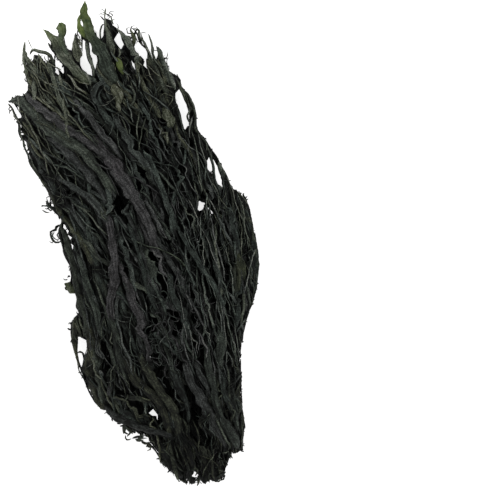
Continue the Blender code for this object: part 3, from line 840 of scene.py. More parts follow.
def skin_tree():
    tree = bpy.data.node_groups.new("dried_strand_skin", "GeometryNodeTree")
    tree.interface.new_socket("Strands", in_out="INPUT", socket_type="NodeSocketGeometry")
    sizes = {"Crumple height": 0.9 * MM, "Creases a metre across": 420.0, "Creases a metre along": 75.0,
             "Ridge height": 0.5 * MM, "Half turns a metre": 1250.0}
    for name, value in sizes.items():
        tree.interface.new_socket(name, in_out="INPUT", socket_type="NodeSocketFloat").default_value = value
    tree.interface.new_socket("Finish", in_out="INPUT", socket_type="NodeSocketMaterial")
    tree.interface.new_socket("Skin", in_out="OUTPUT", socket_type="NodeSocketGeometry")
    given = tree.nodes.new("NodeGroupInput").outputs
    join = add_node(tree, "GeometryNodeJoinGeometry")

    def calc(operation, *values):
        return add_node(tree, "ShaderNodeMath", dict(enumerate(values)), operation=operation).outputs[0]

    def scaled(vector, scale):
        return add_node(tree, "ShaderNodeVectorMath", {0: vector, "Scale": scale}, operation="SCALE").outputs[0]

    def stored(name, data_type="FLOAT"):
        return add_node(tree, "GeometryNodeInputNamedAttribute", {"Name": name},
                        data_type=data_type).outputs["Attribute"]

    turn = stored("turn")
    across = calc("MULTIPLY_ADD", calc("ABSOLUTE", calc("MULTIPLY_ADD", turn, 2.0, -1.0)), 2.0, -1.0)
    face = calc("SIGN", calc("SUBTRACT", 0.5, turn))
    on_right = calc("GREATER_THAN", across, 0.0)
    half = calc("ADD", calc("MULTIPLY", stored("right"), on_right),
                calc("MULTIPLY", stored("left"), calc("SUBTRACT", 1.0, on_right)))
    flat_way = calc("MULTIPLY", across, half)
    round_off = calc("MAXIMUM", calc("SUBTRACT", 1.0, calc("MULTIPLY", across, across)), 0.0)
    bulge = calc("MULTIPLY", face, calc("POWER", round_off, 0.4))
    place = add_node(tree, "ShaderNodeCombineXYZ", {
        "X": calc("MULTIPLY", stored("along"), given["Creases a metre along"]),
        "Y": calc("MULTIPLY", flat_way, given["Creases a metre across"]), "Z": stored("number")}).outputs[0]
    noise = add_node(tree, "ShaderNodeTexNoise", {"Vector": place, "Scale": 1.0, "Detail": 1.0}).outputs[0]
    crease = calc("ABSOLUTE", calc("MULTIPLY_ADD", noise, 4.0, -2.0))
    slow = add_node(tree, "ShaderNodeTexNoise", {"Vector": place, "Scale": 0.35, "Detail": 0.0}).outputs[0]
    wander = calc("MULTIPLY_ADD", slow, 7.0, stored("number"))
    ridge = calc("ABSOLUTE", calc("SINE", calc("MULTIPLY_ADD", flat_way, given["Half turns a metre"], wander)))
    width_share = calc("MINIMUM", 1.0, calc("DIVIDE", half, 3.0 * MM))
    # How high each point sits on the wrinkles. The finish uses it to paint shade into the grooves.
    crest = calc("SUBTRACT", 1.0, calc("MULTIPLY", width_share, calc("SUBTRACT", 1.0, calc(
        "MULTIPLY_ADD", ridge, 0.4, calc("MULTIPLY_ADD", crease, 0.5, 0.15)))))
    relief = calc("ADD", calc("MULTIPLY", crease, given["Crumple height"]),
                  calc("MULTIPLY", ridge, given["Ridge height"]))
    offset = calc("ADD", calc("MULTIPLY", relief, width_share), calc("MULTIPLY", stored("thick"), bulge))
    curl = calc("ADD", stored("curl"), 0.0003)
    bent = calc("MULTIPLY", across, curl)
    bent_sine, bent_cosine = calc("SINE", bent), calc("COSINE", bent)
    radius = calc("DIVIDE", half, curl)
    x = calc("SUBTRACT", calc("MULTIPLY", radius, bent_sine), calc("MULTIPLY", bent_sine, offset))
    y = calc("ADD", calc("MULTIPLY", radius, calc("SUBTRACT", 1.0, bent_cosine)),
             calc("MULTIPLY", bent_cosine, offset))
    tip_cosine, tip_sine = calc("COSINE", stored("tilt")), calc("SINE", stored("tilt"))
    sideways = scaled(stored("side", "FLOAT_VECTOR"),
                      calc("SUBTRACT", calc("MULTIPLY", x, tip_cosine), calc("MULTIPLY", y, tip_sine)))
    upwards = scaled(stored("up", "FLOAT_VECTOR"),
                     calc("ADD", calc("MULTIPLY", x, tip_sine), calc("MULTIPLY", y, tip_cosine)))
    shift = add_node(tree, "ShaderNodeVectorMath", {0: sideways, 1: upwards}, operation="ADD").outputs[0]
    spot = add_node(tree, "ShaderNodeVectorMath", {0: stored("centre", "FLOAT_VECTOR"), 1: shift},
                    operation="ADD").outputs[0]
    parts = add_node(tree, "ShaderNodeSeparateXYZ", {"Vector": spot}).outputs
    above = calc("MAXIMUM", parts["Z"], 0.05 * MM)
    spot = add_node(tree, "ShaderNodeCombineXYZ", {"X": parts["X"], "Y": parts["Y"], "Z": above}).outputs[0]

    for name, ring in RING.items():
        chosen = add_node(tree, "FunctionNodeCompare", {"A": stored("kind", "INT"), "B": KIND[name]},
                          data_type="INT", operation="EQUAL")
        part = add_node(tree, "GeometryNodeSeparateGeometry",
                        {"Geometry": given["Strands"], "Selection": chosen.outputs[0]})
        curve = add_node(tree, "GeometryNodeMeshToCurve", {"Mesh": part.outputs["Selection"]})
        circle = add_node(tree, "GeometryNodeCurvePrimitiveCircle", {"Resolution": ring, "Radius": 0.5 * MM})
        factor = add_node(tree, "GeometryNodeSplineParameter").outputs["Factor"]
        profile = add_node(tree, "GeometryNodeStoreNamedAttribute",
                           {"Geometry": circle.outputs["Curve"], "Name": "turn", "Value": factor}, domain="POINT")
        tube = add_node(tree, "GeometryNodeCurveToMesh", {
            "Curve": curve.outputs["Curve"], "Profile Curve": profile.outputs["Geometry"], "Fill Caps": True})
        tree.links.new(tube.outputs["Mesh"], join.inputs["Geometry"])
    crested = add_node(tree, "GeometryNodeStoreNamedAttribute",
                       {"Geometry": join.outputs["Geometry"], "Name": "crest", "Value": crest}, domain="POINT")
    crested = add_node(tree, "GeometryNodeStoreNamedAttribute",
                       {"Geometry": crested.outputs["Geometry"], "Name": "flat_way", "Value": flat_way},
                       domain="POINT")
    moved = add_node(tree, "GeometryNodeSetPosition", {"Geometry": crested.outputs["Geometry"], "Position": spot})
    kept = add_node(tree, "GeometryNodeStoreNamedAttribute",
                    {"Geometry": moved.outputs["Geometry"], "Name": "across", "Value": across}, domain="POINT")
    outward = add_node(tree, "GeometryNodeFlipFaces", {"Mesh": kept.outputs["Geometry"]})
    soft = add_node(tree, "GeometryNodeSetShadeSmooth", {"Geometry": outward.outputs["Mesh"]})
    real = add_node(tree, "GeometryNodeRealizeInstances", {"Geometry": soft.outputs["Geometry"]})
    finish = add_node(tree, "GeometryNodeSetMaterial",
                      {"Geometry": real.outputs["Geometry"], "Material": given["Finish"]})
    output = tree.nodes.new("NodeGroupOutput")
    tree.links.new(finish.outputs["Geometry"], output.inputs["Skin"])
    return tree


SKIN = skin_tree()
print("nodes in the skin's tree:", len(SKIN.nodes))

# %% [markdown]
# ## The finish of dried blade
#
# Dried wakame is matt and leathery. Its colour is a green so dark that it reads as black. Crests that stick out
# are paler and greyer, partly dulled by salt and wear and partly as painted light, some towards brown-purple and
# some towards olive, and painted shade keeps the inside of the sheaf and the grooves black. Wrinkles run along
# the blade about a millimetre apart. A tip that dried fast stays green.

# %% Materials
SHOWN_BY_FINISH = ("across", "along", "number", "shade", "green", "tint", "deep", "crest", "flat_way")


def dried_blade(name, dark, pale, roughness=0.55):
    """Leathery dried seaweed, its colours given as sRGB hex, with green where a strand's attribute says so."""
    material = bpy.data.materials.new(name)
    material.use_nodes = True
    tree = material.node_tree
    shader = tree.nodes["Principled BSDF"]

    def calc(operation, *values):
        return add_node(tree, "ShaderNodeMath", dict(enumerate(values)), operation=operation).outputs[0]

    def noise(vector, scale, detail):
        return add_node(tree, "ShaderNodeTexNoise", {"Vector": vector, "Scale": scale, "Detail": detail}).outputs[0]

    def ramp(value, low, high, to_low=0.0, to_high=1.0):
        return add_node(tree, "ShaderNodeMapRange", {"Value": value, "From Min": low, "From Max": high,
                                                     "To Min": to_low, "To Max": to_high}).outputs[0]

    def blend(factor, a, b):
        return add_node(tree, "ShaderNodeMix", {"Factor": factor, "A": a, "B": b},
                        data_type="RGBA").outputs["Result"]

    place = add_node(tree, "ShaderNodeTexCoord").outputs["Object"]
    across, along, number, shade, green, tint, deep, crest, flat_way = (
        add_node(tree, "ShaderNodeAttribute", attribute_name=key).outputs["Fac"] for key in SHOWN_BY_FINISH
    )
    # Blotches are about 5.6 mm wide and the grain 0.9 mm. Wrinkles lie about 1.1 mm apart and are 7 mm long.
    blotch = noise(place, 180.0, 3.0)
    grain = noise(place, 1100.0, 2.0)
    ribs_place = add_node(tree, "ShaderNodeCombineXYZ", {
        "X": calc("MULTIPLY", flat_way, 900.0), "Y": calc("MULTIPLY", along, 140.0), "Z": number}).outputs[0]
    ribs = noise(ribs_place, 1.0, 3.0)
    # Strand edges are paler: partly worn edges, partly a painted highlight along the rims.
    edge = ramp(calc("ABSOLUTE", across), 0.7, 0.97)
    # Painted shade: points that lie lower than the strands around them are darkened, and those that stand out are lit
    # up.
    outer = ramp(deep, 0.0026, -0.0008)
    tone = calc("ADD", calc("MULTIPLY", shade, 0.55), ramp(calc("ADD", ribs, blotch), 0.8, 1.25, 0.0, 0.6))
    tone = calc("MULTIPLY_ADD", edge, 0.35, tone)
    # Grain, with painted shade in the grooves between the wrinkles' crests.
    grain_and_groove_shade = calc("MULTIPLY", ramp(grain, 0.32, 0.68, 0.2, 1.7), ramp(crest, 0.1, 0.9, 0.1, 1.0))
    # Tone and wear, darkened by painted shade in gaps and grooves and lightened by the painted highlight on the
    # edges.
    wear_and_painted_light = calc("MULTIPLY", calc("MULTIPLY", tone, grain_and_groove_shade), calc("MULTIPLY_ADD", outer, 1.25, 0.02))
    pale_tinted = blend(ramp(tint, -1.0, 0.0), linear("787577"), linear("67736b"))
    pale_tinted = blend(ramp(tint, 0.0, 1.0), pale_tinted, linear(pale))
    base = blend(wear_and_painted_light, linear(dark), pale_tinted)
    # The palest go on to a pale salt grey, which partly stands for salt and partly is a painted glint.
    base = blend(ramp(wear_and_painted_light, 0.9, 2.4), base, linear("a6a89c"))
    greenish = blend(ramp(blotch, 0.3, 0.7), linear("3c5220"), linear("8a9a56"))
    final = blend(green, base, greenish)
    tree.links.new(final, shader.inputs["Base Color"])
    height = calc("ADD", calc("MULTIPLY", grain, 0.5), ribs)
    bump = add_node(tree, "ShaderNodeBump", {"Height": height, "Strength": 1.0, "Distance": 2.0 * MM})
    tree.links.new(bump.outputs[0], shader.inputs["Normal"])
    tree.links.new(ramp(ribs, 0.3, 0.7, roughness - 0.12, roughness + 0.15), shader.inputs["Roughness"])
    shader.inputs["IOR"].default_value = 1.42
    shader.inputs["Specular IOR Level"].default_value = 0.25
    return material


FINISH = {
    "dark_frond": dried_blade("dried_blade_black", "121412", "6f735c"),
    "olive_frond": dried_blade("dried_blade_olive", "121410", "727354"),
    "green_blade": dried_blade("dried_blade_green", "121811", "6a7662", 0.5),
}
print("finishes:", list(FINISH))

# %% [markdown]
# ## Making a piece
#
# A piece's strands are written into one mesh of loose edges. The skin's tree turns it into a body, which is
# then kept as a plain mesh, so nothing is left to compute later.

# %% Piece maker
SLOT_OF = {item["node"]: item["material_slot"] for item in frame["record"]["subparts"]}
IN_METRES = ("left", "right", "thick", "along")
TRIANGLES = []
PIECES = []


def strand_mesh(name, strands):
    """A mesh of loose edges along the strands, with what the skin needs as attributes of its points."""
    points = np.concatenate([strand["points"] for strand in strands]) * MM
    frames = []
    for strand in strands:
        tangent = np.gradient(strand["points"], axis=0)
        tangent /= np.linalg.norm(tangent, axis=1)[:, None] + 1e-9
        side = np.column_stack([tangent[:, 1], -tangent[:, 0], np.zeros(len(tangent))])
        side /= np.linalg.norm(side, axis=1)[:, None] + 1e-9
        frames.append((side, np.cross(side, tangent)))
    counts = [len(strand["points"]) for strand in strands]
    starts = np.concatenate([[0], np.cumsum(counts)[:-1]])
    edges = np.concatenate([np.column_stack([np.arange(n - 1), np.arange(1, n)]) + at
                            for n, at in zip(counts, starts)])
    mesh = bpy.data.meshes.new(name)
    mesh.vertices.add(len(points))
    mesh.vertices.foreach_set("co", points.astype(np.float32).ravel())
    mesh.edges.add(len(edges))
    mesh.edges.foreach_set("vertices", edges.astype(np.int32).ravel())
    vectors = {"centre": points, "side": np.concatenate([pair[0] for pair in frames]),
               "up": np.concatenate([pair[1] for pair in frames])}
    for key, values in vectors.items():
        layer = mesh.attributes.new(key, "FLOAT_VECTOR", "POINT")
        layer.data.foreach_set("vector", values.astype(np.float32).ravel())
    for key in PER_POINT:
        values = np.concatenate([strand[key] for strand in strands]) * (MM if key in IN_METRES else 1)
        mesh.attributes.new(key, "FLOAT", "POINT").data.foreach_set("value", values.astype(np.float32))
    kinds = np.concatenate([np.full(len(strand["points"]), strand["kind"]) for strand in strands])
    mesh.attributes.new("kind", "INT", "POINT").data.foreach_set("value", kinds.astype(np.int32))
    mesh.update()
    return mesh


def make_piece(name, strands, slot, replaced=()):
    """Skins the strands as one finished piece, which stands for the solids that it replaces."""
    obj = bpy.data.objects.new(name, strand_mesh(name, strands))
    bpy.context.scene.collection.objects.link(obj)
    skin = obj.modifiers.new("Skin", "NODES")
    skin.node_group = SKIN
    for item in SKIN.interface.items_tree:
        if item.in_out == "INPUT" and item.name == "Finish":
            skin[item.identifier] = FINISH[slot]
    bpy.context.view_layer.update()
    evaluated = obj.evaluated_get(bpy.context.evaluated_depsgraph_get())
    mesh = bpy.data.meshes.new_from_object(evaluated)
    obj.modifiers.clear()
    paths, obj.data = obj.data, mesh
    bpy.data.meshes.remove(paths)
    mesh.name = name
    for key in (*PER_POINT, "kind", "turn", "centre", "side", "up"):
        if key in mesh.attributes and key not in SHOWN_BY_FINISH:
            mesh.attributes.remove(mesh.attributes[key])
    mesh.materials.clear()
    mesh.materials.append(FINISH[slot])
    if "material_index" in mesh.attributes:
        mesh.attributes.remove(mesh.attributes["material_index"])
    mesh.validate()
    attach(obj, "root")
    if replaced:
        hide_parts(*replaced)
    triangles = sum(len(polygon.vertices) - 2 for polygon in mesh.polygons)
    TRIANGLES.append(triangles)
    PIECES.append(mesh)
    print(name, "strands:", len(strands), "triangles:", triangles)


print("slots:", sorted(set(SLOT_OF.values())))

# %% [markdown]
# ## The fronds
#
# Each frond gets the strands of its own solid, loose strands that thicken it, and twigs: the short curly ends
# of torn blade. The fronds that show get the most.

# %% Fronds
# How many loose blades, ribbons and strings a frond of each place in the sheaf gets, and how many twigs.
EXTRA = {"under": (4, 2, 2, 4), "inner": (8, 3, 0, 0), "upper": (0, 7, 8, 16), "top": (0, 5, 6, 12)}
BLADE_KIND = {"under": "hidden", "inner": "hidden", "upper": "blade", "top": "blade"}

for node, (cell, lines) in FRONDS.items():
    rng = random.Random("fine " + node)
    place = node.split("_")[1]
    blades, ribbons, strings, twigs = EXTRA[place]
    strands = []
    for rows, kind in lines:
        kind = BLADE_KIND[place] if kind == "blade" else kind
        strands += along_rows(cell, rows, kind, rng)
    for _ in range(blades):
        strands += drifting(cell, rng, "hidden", 5.5, length=(3.0, 6.5))
    for _ in range(ribbons):
        strands += drifting(cell, rng, "ribbon", 1.9)
    for _ in range(strings):
        strands += drifting(cell, rng, "string", 0.6, kink=1.3)
    carriers = [strand for strand in strands if len(strand["points"]) > 8]
    for _ in range(twigs):
        strands += twig(rng.choice(carriers), rng)
    make_piece(node + "_dried", strands, SLOT_OF[node], [node])
print("triangles in the fronds:", sum(TRIANGLES))

# %% [markdown]
# ## Ribbons at their places
#
# These are the ribbons that give this sheaf its face: the green tips, the bark-like bands that run down from
# the upper left, the broad blade on the lower left edge and the folds at the foot. Each line gives a kind, half
# widths in millimetres from its top end to its lower end, how far it stands above the sheaf's top, how pale
# it is, its tint from purple-grey at -1 to olive at 1, how green it is, and its route in pixels of the view.
# How green it is is one number, or a row of numbers from its top end to its lower end.

# %% Routes of the ribbons
ROUTES = {
    "green_blade_1": [
        ("blade", (0.8, 2.2, 3.2, 3.8, 3.4, 3.8, 4.6, 5.0, 5.2, 5.4, 5.8, 6.2, 6.0, 3.5), 3.5, 0.7, 0.5,
         (0.8, 0.75, 0.65, 0.55, 0.4, 0.25, 0.12, 0.05, 0, 0, 0, 0, 0, 0),
         [(85, 0), (84.5, 5), (84, 10), (84.5, 15), (87, 21), (88.5, 27), (91, 34), (95, 41), (98, 47), (102, 54),
          (105, 61), (108, 69), (112, 77), (117, 83)]),
        ("ribbon", (1.0, 1.4, 1.4, 2.6, 3.0, 1.6), 4, 0.6, 0.6, (0.3, 0.8, 1, 1, 0.6, 0),
         [(82, 13), (79.5, 18), (78.5, 23), (80, 28), (84, 34), (89, 41)]),
    ],
    "green_blade_2": [
        ("blade", (7.0, 5.2, 4.0, 1.8, 2.4, 3.0, 3.0), 3, 0.8, 0.8, (0.7, 0.5, 0.35, 0.2, 0.05, 0, 0),
         [(60, 23), (61, 26), (62.5, 30), (62, 35), (62.5, 41), (65, 50), (69, 58)]),
    ],
    "tip_ribbons": [
        ("blade", (3.0, 2.4, 3.6, 5.2, 5.5, 5.3, 5.5, 5.2, 2.4), 2, 0.8, 0.6,
         (0.9, 0.5, 0.12, 0.05, 0, 0, 0.05, 0.1, 0.1),
         [(41, 28), (46, 31), (52, 37), (56, 43), (61, 51), (68, 60), (75, 69), (82, 77), (91, 84)]),
        ("blade", (0.8, 2.6, 3.9, 4.0, 3.0, 1.6), 1, 0.35, 0.8, 0,
         [(75, 33), (75, 40), (76, 48), (77, 55), (80, 62), (84, 70)]),
        ("strap", (1.4, 1.5, 1.6, 1.6), 1.5, 0.45, 0.4, 0,
         [(87, 38), (87, 46), (88, 54), (90, 61), (93, 69), (94, 78)]),
        ("ribbon", (1.4, 1.5, 0.9, 1.0, 1.8, 3.2, 4.2, 4.4, 3.4), 3, 0.5, 0.6, 0,
         [(106, 8), (105, 12), (105, 16), (106, 21), (106, 27), (108, 33), (109, 40), (110, 48), (113, 57)]),
        ("string", (0.9, 0.6), 2, 0.4, 0.5, 0, [(105, 19), (102, 17), (100, 16)]),
        ("string", (0.7, 0.7, 0.7), 2, 0.4, 0.5, 0, [(105, 24), (102, 25), (101, 31), (100, 38), (101, 44)]),
        ("ribbon", (0.9, 0.9, 1.2, 2.2, 3.0, 3.2, 3.2, 2.8, 2.4), 2.5, 0.55, 0.4, 0,
         [(111, 16), (112, 21), (115, 26), (120, 31), (125, 36), (129, 42), (132, 50), (136, 58), (140, 66)]),
        ("string", (0.7, 0.5), 2, 0.4, 0.5, 0, [(112, 22), (113, 20), (115, 20)]),
        ("strap", (0.9, 1.3, 1.5, 1.3, 1.2), 2.5, 0.7, 1, (0.2, 0.25, 0.15, 0, 0),
         [(130, 29), (133, 35), (134, 41), (132, 48), (136, 57)]),
        ("string", (1.0, 1.1, 1.0, 1.1, 1.2, 1.2), 2, 0.45, 0.5, 0,
         [(134, 31), (138, 28), (141, 31), (140, 36), (145, 44), (150, 54), (154, 66)]),
        ("strap", (0.7, 1.0, 1.2, 1.2), 1, 0.4, 0.5, 0, [(148, 34), (151, 43), (154, 55), (158, 70)]),
        ("ribbon", (1.0, 2.2, 3.2, 3.8, 3.8, 2.6), 2, 0.6, 0.3, 0,
         [(156, 44), (160, 52), (164, 64), (170, 78), (176, 94), (182, 110)]),
        ("ribbon", (1.6, 2.2, 2.2, 2.0), 1, 0.5, 0.5, 0, [(153, 60), (158, 74), (163, 88), (168, 104)]),
        ("ribbon", (1.6, 2.8, 1.8), 1, 0.6, 0.8, 0, [(171, 74), (178, 79), (180, 87)]),
        ("ribbon", (1.0, 1.4, 1.4, 1.7, 2.0), 1, 0.45, 0.7, 0,
         [(25, 39), (23, 47), (23, 55), (25, 66), (28, 78), (31, 90)]),
        ("string", (0.4, 0.4), 1, 0.8, 0.8, 0, [(26, 39), (30, 43), (34, 48)]),
        ("strap", (0.9, 1.2, 1.2, 1.4, 1.8, 1.6), 1.5, 0.45, 0.6, 0,
         [(30, 55), (33, 50), (38, 51), (44, 52), (49, 54), (51, 60), (54, 69)]),
        ("ribbon", (2.4, 3.8, 4.0, 3.2), 0, 0.4, 0.3, 0, [(29, 64), (38, 74), (50, 87), (62, 101)]),
        ("ribbon", (2.0, 3.4, 3.6, 3.0), 0, 0.4, 0, 0, [(44, 66), (54, 76), (66, 88), (78, 102)]),
        ("ribbon", (1.2, 1.9, 1.8, 1.2), 2.5, 1.2, 0.6, 0, [(34, 76), (34, 88), (34, 98), (35, 109), (38, 120)]),
        ("ribbon", (1.0, 2.4, 2.6, 1.4), 3.5, 0.7, 1, (0.5, 0.9, 0.8, 0.4),
         [(116, 57), (118, 62), (121, 68), (124, 75)]),
        ("strap", (0.8, 1.7, 1.2), 3, 1, 1, 1, [(28, 123), (30, 127), (31, 131)]),
        ("strap", (0.8, 1.2, 1.0), 0.5, 0.8, 1, (0.4, 0.6, 0.3), [(36, 168), (41, 176), (46, 187)]),
    ],
    "upper_ribbons": [
        ("blade", (3.4, 5.6, 6.2, 5.8, 5.0, 4.0, 3.0), 2, 0.85, 0.3, 0,
         [(9, 101), (19, 100), (31, 112), (48, 126), (68, 142), (88, 158), (104, 176), (116, 196)]),
        ("ribbon", (2.2, 3.8, 4.4, 4.4, 3.6, 2.4), 2, 0.75, -0.8, 0,
         [(24, 92), (36, 104), (53, 117), (71, 131), (92, 146), (112, 162), (128, 182)]),
        ("string", (0.7, 0.9, 1.0, 1.0, 0.9), 0, 0.35, 0.3, 0,
         [(8, 103), (13, 112), (19, 123), (22, 138), (26, 152), (33, 166), (42, 182), (52, 198)]),
        ("blade", (2.0, 4.2, 4.8, 3.4), 5, 2.0, 1.0, 0, [(112, 83), (115, 90), (118, 97), (120, 104)]),
        ("ribbon", (1.6, 2.4, 2.2, 1.0), 5, 1.6, 1.0, 0, [(116, 99), (118, 104), (120, 108), (121, 113)]),
        ("ribbon", (1.4, 2.2, 2.4, 1.6), 4, 0.6, -0.2, 0, [(108, 81), (99, 86), (94, 94), (95, 101), (101, 107)]),
        ("strap", (1.0, 1.2, 1.2), 3.5, 0.5, 0, 0, [(104, 88), (99, 95), (101, 103), (108, 110), (117, 114)]),
        ("strap", (1.0, 1.3, 1.2), 3.5, 0.6, 0.3, 0, [(121, 98), (128, 104), (136, 109), (147, 114)]),
        ("strap", (0.8, 1.1, 1.0), 3, 0.7, 0.5, 0, [(124, 84), (131, 88), (134, 96), (131, 104), (124, 109)]),
        ("blade", (1.8, 4.2, 4.4, 2.4), 4, 1.6, 0.8, 0.03, [(163, 106), (165, 113), (168, 121), (171, 130)]),
        ("blade", (3.0, 5.8, 6.0, 4.5, 2.5), 2.5, 0.8, -1, 0,
         [(88, 132), (98, 144), (109, 156), (118, 170), (126, 186)]),
        ("blade", (3.0, 5.8, 6.4, 5.4, 4.2, 3.4, 2.4), 2.5, 0.9, -0.8, 0,
         [(104, 152), (114, 166), (126, 184), (138, 204), (147, 222), (155, 242), (164, 264)]),
        ("ribbon", (1.8, 2.8, 3.2, 3.0, 2.4), 2, 0.8, -0.3, 0,
         [(54, 174), (70, 185), (88, 197), (102, 213), (112, 231), (117, 252)]),
        ("ribbon", (2.4, 4.2, 4.6, 4.0, 3.0), 1.5, 0.65, -0.5, 0,
         [(32, 120), (48, 134), (66, 150), (84, 168), (98, 188), (109, 208)]),
        ("ribbon", (2.0, 3.4, 3.8, 3.6, 2.6), 1, 0.55, 1, (0.05, 0),
         [(58, 212), (72, 228), (85, 246), (94, 264), (101, 284)]),
        ("ribbon", (1.2, 2.2, 2.4, 2.2, 1.6), 2.5, 0.75, 0, 0,
         [(128, 126), (141, 146), (153, 168), (163, 190), (171, 212), (177, 236)]),
        ("ribbon", (1.6, 2.8, 3.2, 2.8, 2.0), 2, 0.7, -0.2, 0,
         [(110, 112), (123, 132), (136, 151), (150, 172), (162, 194), (172, 218)]),
        ("ribbon", (1.2, 1.8, 1.8, 1.2), 2, 0.6, 0, 0, [(138, 98), (146, 116), (154, 134), (159, 154), (163, 174)]),
        ("ribbon", (1.0, 1.8, 1.8, 1.4), 2.5, 0.6, 0, 0,
         [(187, 146), (183, 168), (176, 190), (171, 212), (172, 236)]),
        ("string", (0.6, 0.8, 0.8, 0.6), 1, 0.4, 0.5, 0,
         [(177, 83), (184, 92), (187, 99), (189, 109), (188, 117), (192, 126), (192, 136)]),
        ("string", (0.5, 0.7, 0.7, 0.5), 1, 0.4, 0.5, 0,
         [(183, 91), (190, 96), (191, 105), (194, 113), (193, 124), (196, 132)]),
        ("strap", (0.7, 0.9, 1.0, 1.0, 1.2), 1, 0.45, 0.5, 0,
         [(180, 86), (190, 99), (195, 114), (195, 128), (203, 139), (211, 149), (219, 163), (226, 178), (232, 194)]),
        ("string", (0.8, 1.2, 1.3, 1.2), 1, 0.45, 0, 0, [(203, 140), (210, 154), (213, 171), (218, 188), (224, 206)]),
        ("ribbon", (1.4, 2.4, 2.6, 2.0), 2, 0.8, 0.5, 0, [(62, 182), (80, 190), (96, 202), (106, 218), (112, 236)]),
        ("ribbon", (1.4, 2.6, 3.0, 2.0), 2, 0.7, -0.6, 0, [(72, 96), (84, 112), (98, 128), (112, 144), (124, 162)]),
        ("ribbon", (1.4, 2.8, 3.0, 2.2), 1.5, 0.7, 0, 0, [(90, 84), (96, 100), (106, 116), (118, 132)]),
    ],
    "middle_ribbons": [
        ("blade", (2.0, 3.6, 4.4, 4.4, 3.6, 2.4), 2.5, 0.95, -0.9, 0,
         [(107, 212), (112, 236), (114, 262), (113, 286), (110, 306), (113, 326)]),
        ("ribbon", (2.0, 3.2, 3.6, 3.2, 2.4), 2, 0.85, -0.9, 0,
         [(117, 260), (126, 280), (134, 302), (141, 324), (148, 346), (155, 364)]),
        ("ribbon", (1.8, 3.2, 3.2, 2.0), 2.5, 0.95, 0.3, 0, [(143, 246), (149, 258), (154, 271), (157, 284)]),
        ("string", (0.5, 0.7, 0.6, 0.8), 3.5, 1.0, 0.3, (0, 0.12),
         [(126, 238), (142, 244), (157, 248), (171, 254), (181, 260), (189, 270)]),
        ("ribbon", (1.2, 2.2, 2.6, 2.4, 1.6), 2.5, 0.75, 0, 0,
         [(175, 222), (187, 244), (199, 263), (212, 282), (221, 298), (227, 316)]),
        ("blade", (1.6, 4.6, 5.4, 3.6, 1.6), 2.5, 0.9, 0.2, 0,
         [(217, 326), (220, 338), (220, 351), (219, 364), (222, 376)]),
        ("ribbon", (1.6, 1.6, 1.2, 1.2), 3, 0.85, 0, 0, [(195, 301), (200, 308), (209, 315), (217, 327)]),
        ("ribbon", (1.6, 3.2, 3.6, 2.4), 2, 0.6, 0.9, 0.06, [(230, 240), (236, 252), (241, 266), (243, 282)]),
        ("ribbon", (1.2, 2.4, 2.6, 1.8), 2, 0.6, 0.9, 0.03, [(236, 250), (238, 266), (239, 282), (236, 298)]),
        ("ribbon", (1.6, 2.4, 3.0, 3.0, 2.4), 1, 0.5, 0, 0,
         [(231, 188), (242, 206), (249, 226), (254, 250), (255, 274), (250, 300), (245, 322)]),
        ("ribbon", (1.4, 2.4, 2.6, 2.6, 2.0), 1.5, 0.6, 0, 0,
         [(221, 196), (230, 216), (236, 238), (240, 262), (240, 286), (237, 310), (234, 334)]),
        ("ribbon", (1.4, 2.6, 3.0, 2.4), 2, 0.65, 0, 0, [(196, 214), (206, 234), (214, 256), (219, 278), (222, 300)]),
        ("ribbon", (1.6, 2.8, 3.2, 2.6), 1.5, 0.6, 0.3, 0,
         [(92, 262), (99, 284), (106, 306), (114, 328), (122, 350)]),
        ("ribbon", (1.6, 3.0, 3.4, 2.6), 2, 0.7, -0.4, 0,
         [(152, 230), (164, 250), (176, 272), (186, 292), (194, 314)]),
        ("ribbon", (1.4, 2.6, 2.8, 2.2), 2, 0.6, 0, 0, [(128, 222), (136, 244), (144, 268), (150, 292), (158, 314)]),
        ("ribbon", (1.6, 3.0, 3.2, 2.4), 2, 0.7, 0, 0, [(166, 268), (170, 286), (176, 304), (184, 322), (192, 342)]),
    ],
    "left_edge_ribbons": [
        ("ribbon", (1.8, 2.8, 3.2, 3.6, 3.8, 4.2, 4.4, 3.0), 1, 0.6, 0.4, 0,
         [(61, 224), (68, 246), (75, 270), (80, 296), (86, 322), (94, 350), (100, 378), (104, 404)]),
        ("blade", (1.6, 3.4, 3.6, 3.4, 2.6, 1.5, 1.0, 1.1, 1.4), 0, 0.4, 1, 0,
         [(81, 311), (77, 319), (75, 328), (75, 337), (76, 345), (76.5, 353), (78, 361), (80.5, 369), (84, 378)]),
        ("blade", (2.0, 3.4, 4.6, 6.4, 7.4, 7.0, 5.2, 3.4), 0.5, 0.4, 1, 0,
         [(83, 304), (88, 324), (94, 342), (93, 354), (92, 368), (93, 382), (98, 396), (103, 409)]),
        ("strap", (0.8, 1.0, 0.8), 0, 0.5, 1, 0, [(77, 353), (81, 351), (85, 354)]),
        ("ribbon", (2.0, 4.0, 3.0), 1, 0.8, 1, 0, [(98, 398), (104, 405), (109, 410)]),
        ("ribbon", (2.6, 4.2, 3.0), 0, 0.5, 0.9, (0.1, 0.35), [(80, 294), (73, 289), (65, 283)]),
        ("ribbon", (1.6, 3.0, 3.2, 2.2), 1.5, 0.6, 0.2, 0, [(76, 246), (83, 270), (90, 294), (97, 318), (104, 340)]),
        ("strap", (1.2, 1.6, 1.7, 1.8, 1.8), 0, 0.35, 0.3, 0,
         [(62, 216), (62, 224), (60, 232), (63, 242), (67, 254), (72, 268)]),
        ("strap", (1.0, 1.2, 1.0, 1.2, 0.8), 0, 0.4, 0.3, 0,
         [(61, 226), (57, 226), (55, 230), (51, 231), (52, 237), (56, 242), (61, 241)]),
        ("string", (0.6, 0.7, 0.6), 0, 0.5, 0.3, 0, [(61, 230), (57, 233), (58, 237), (62, 240)]),
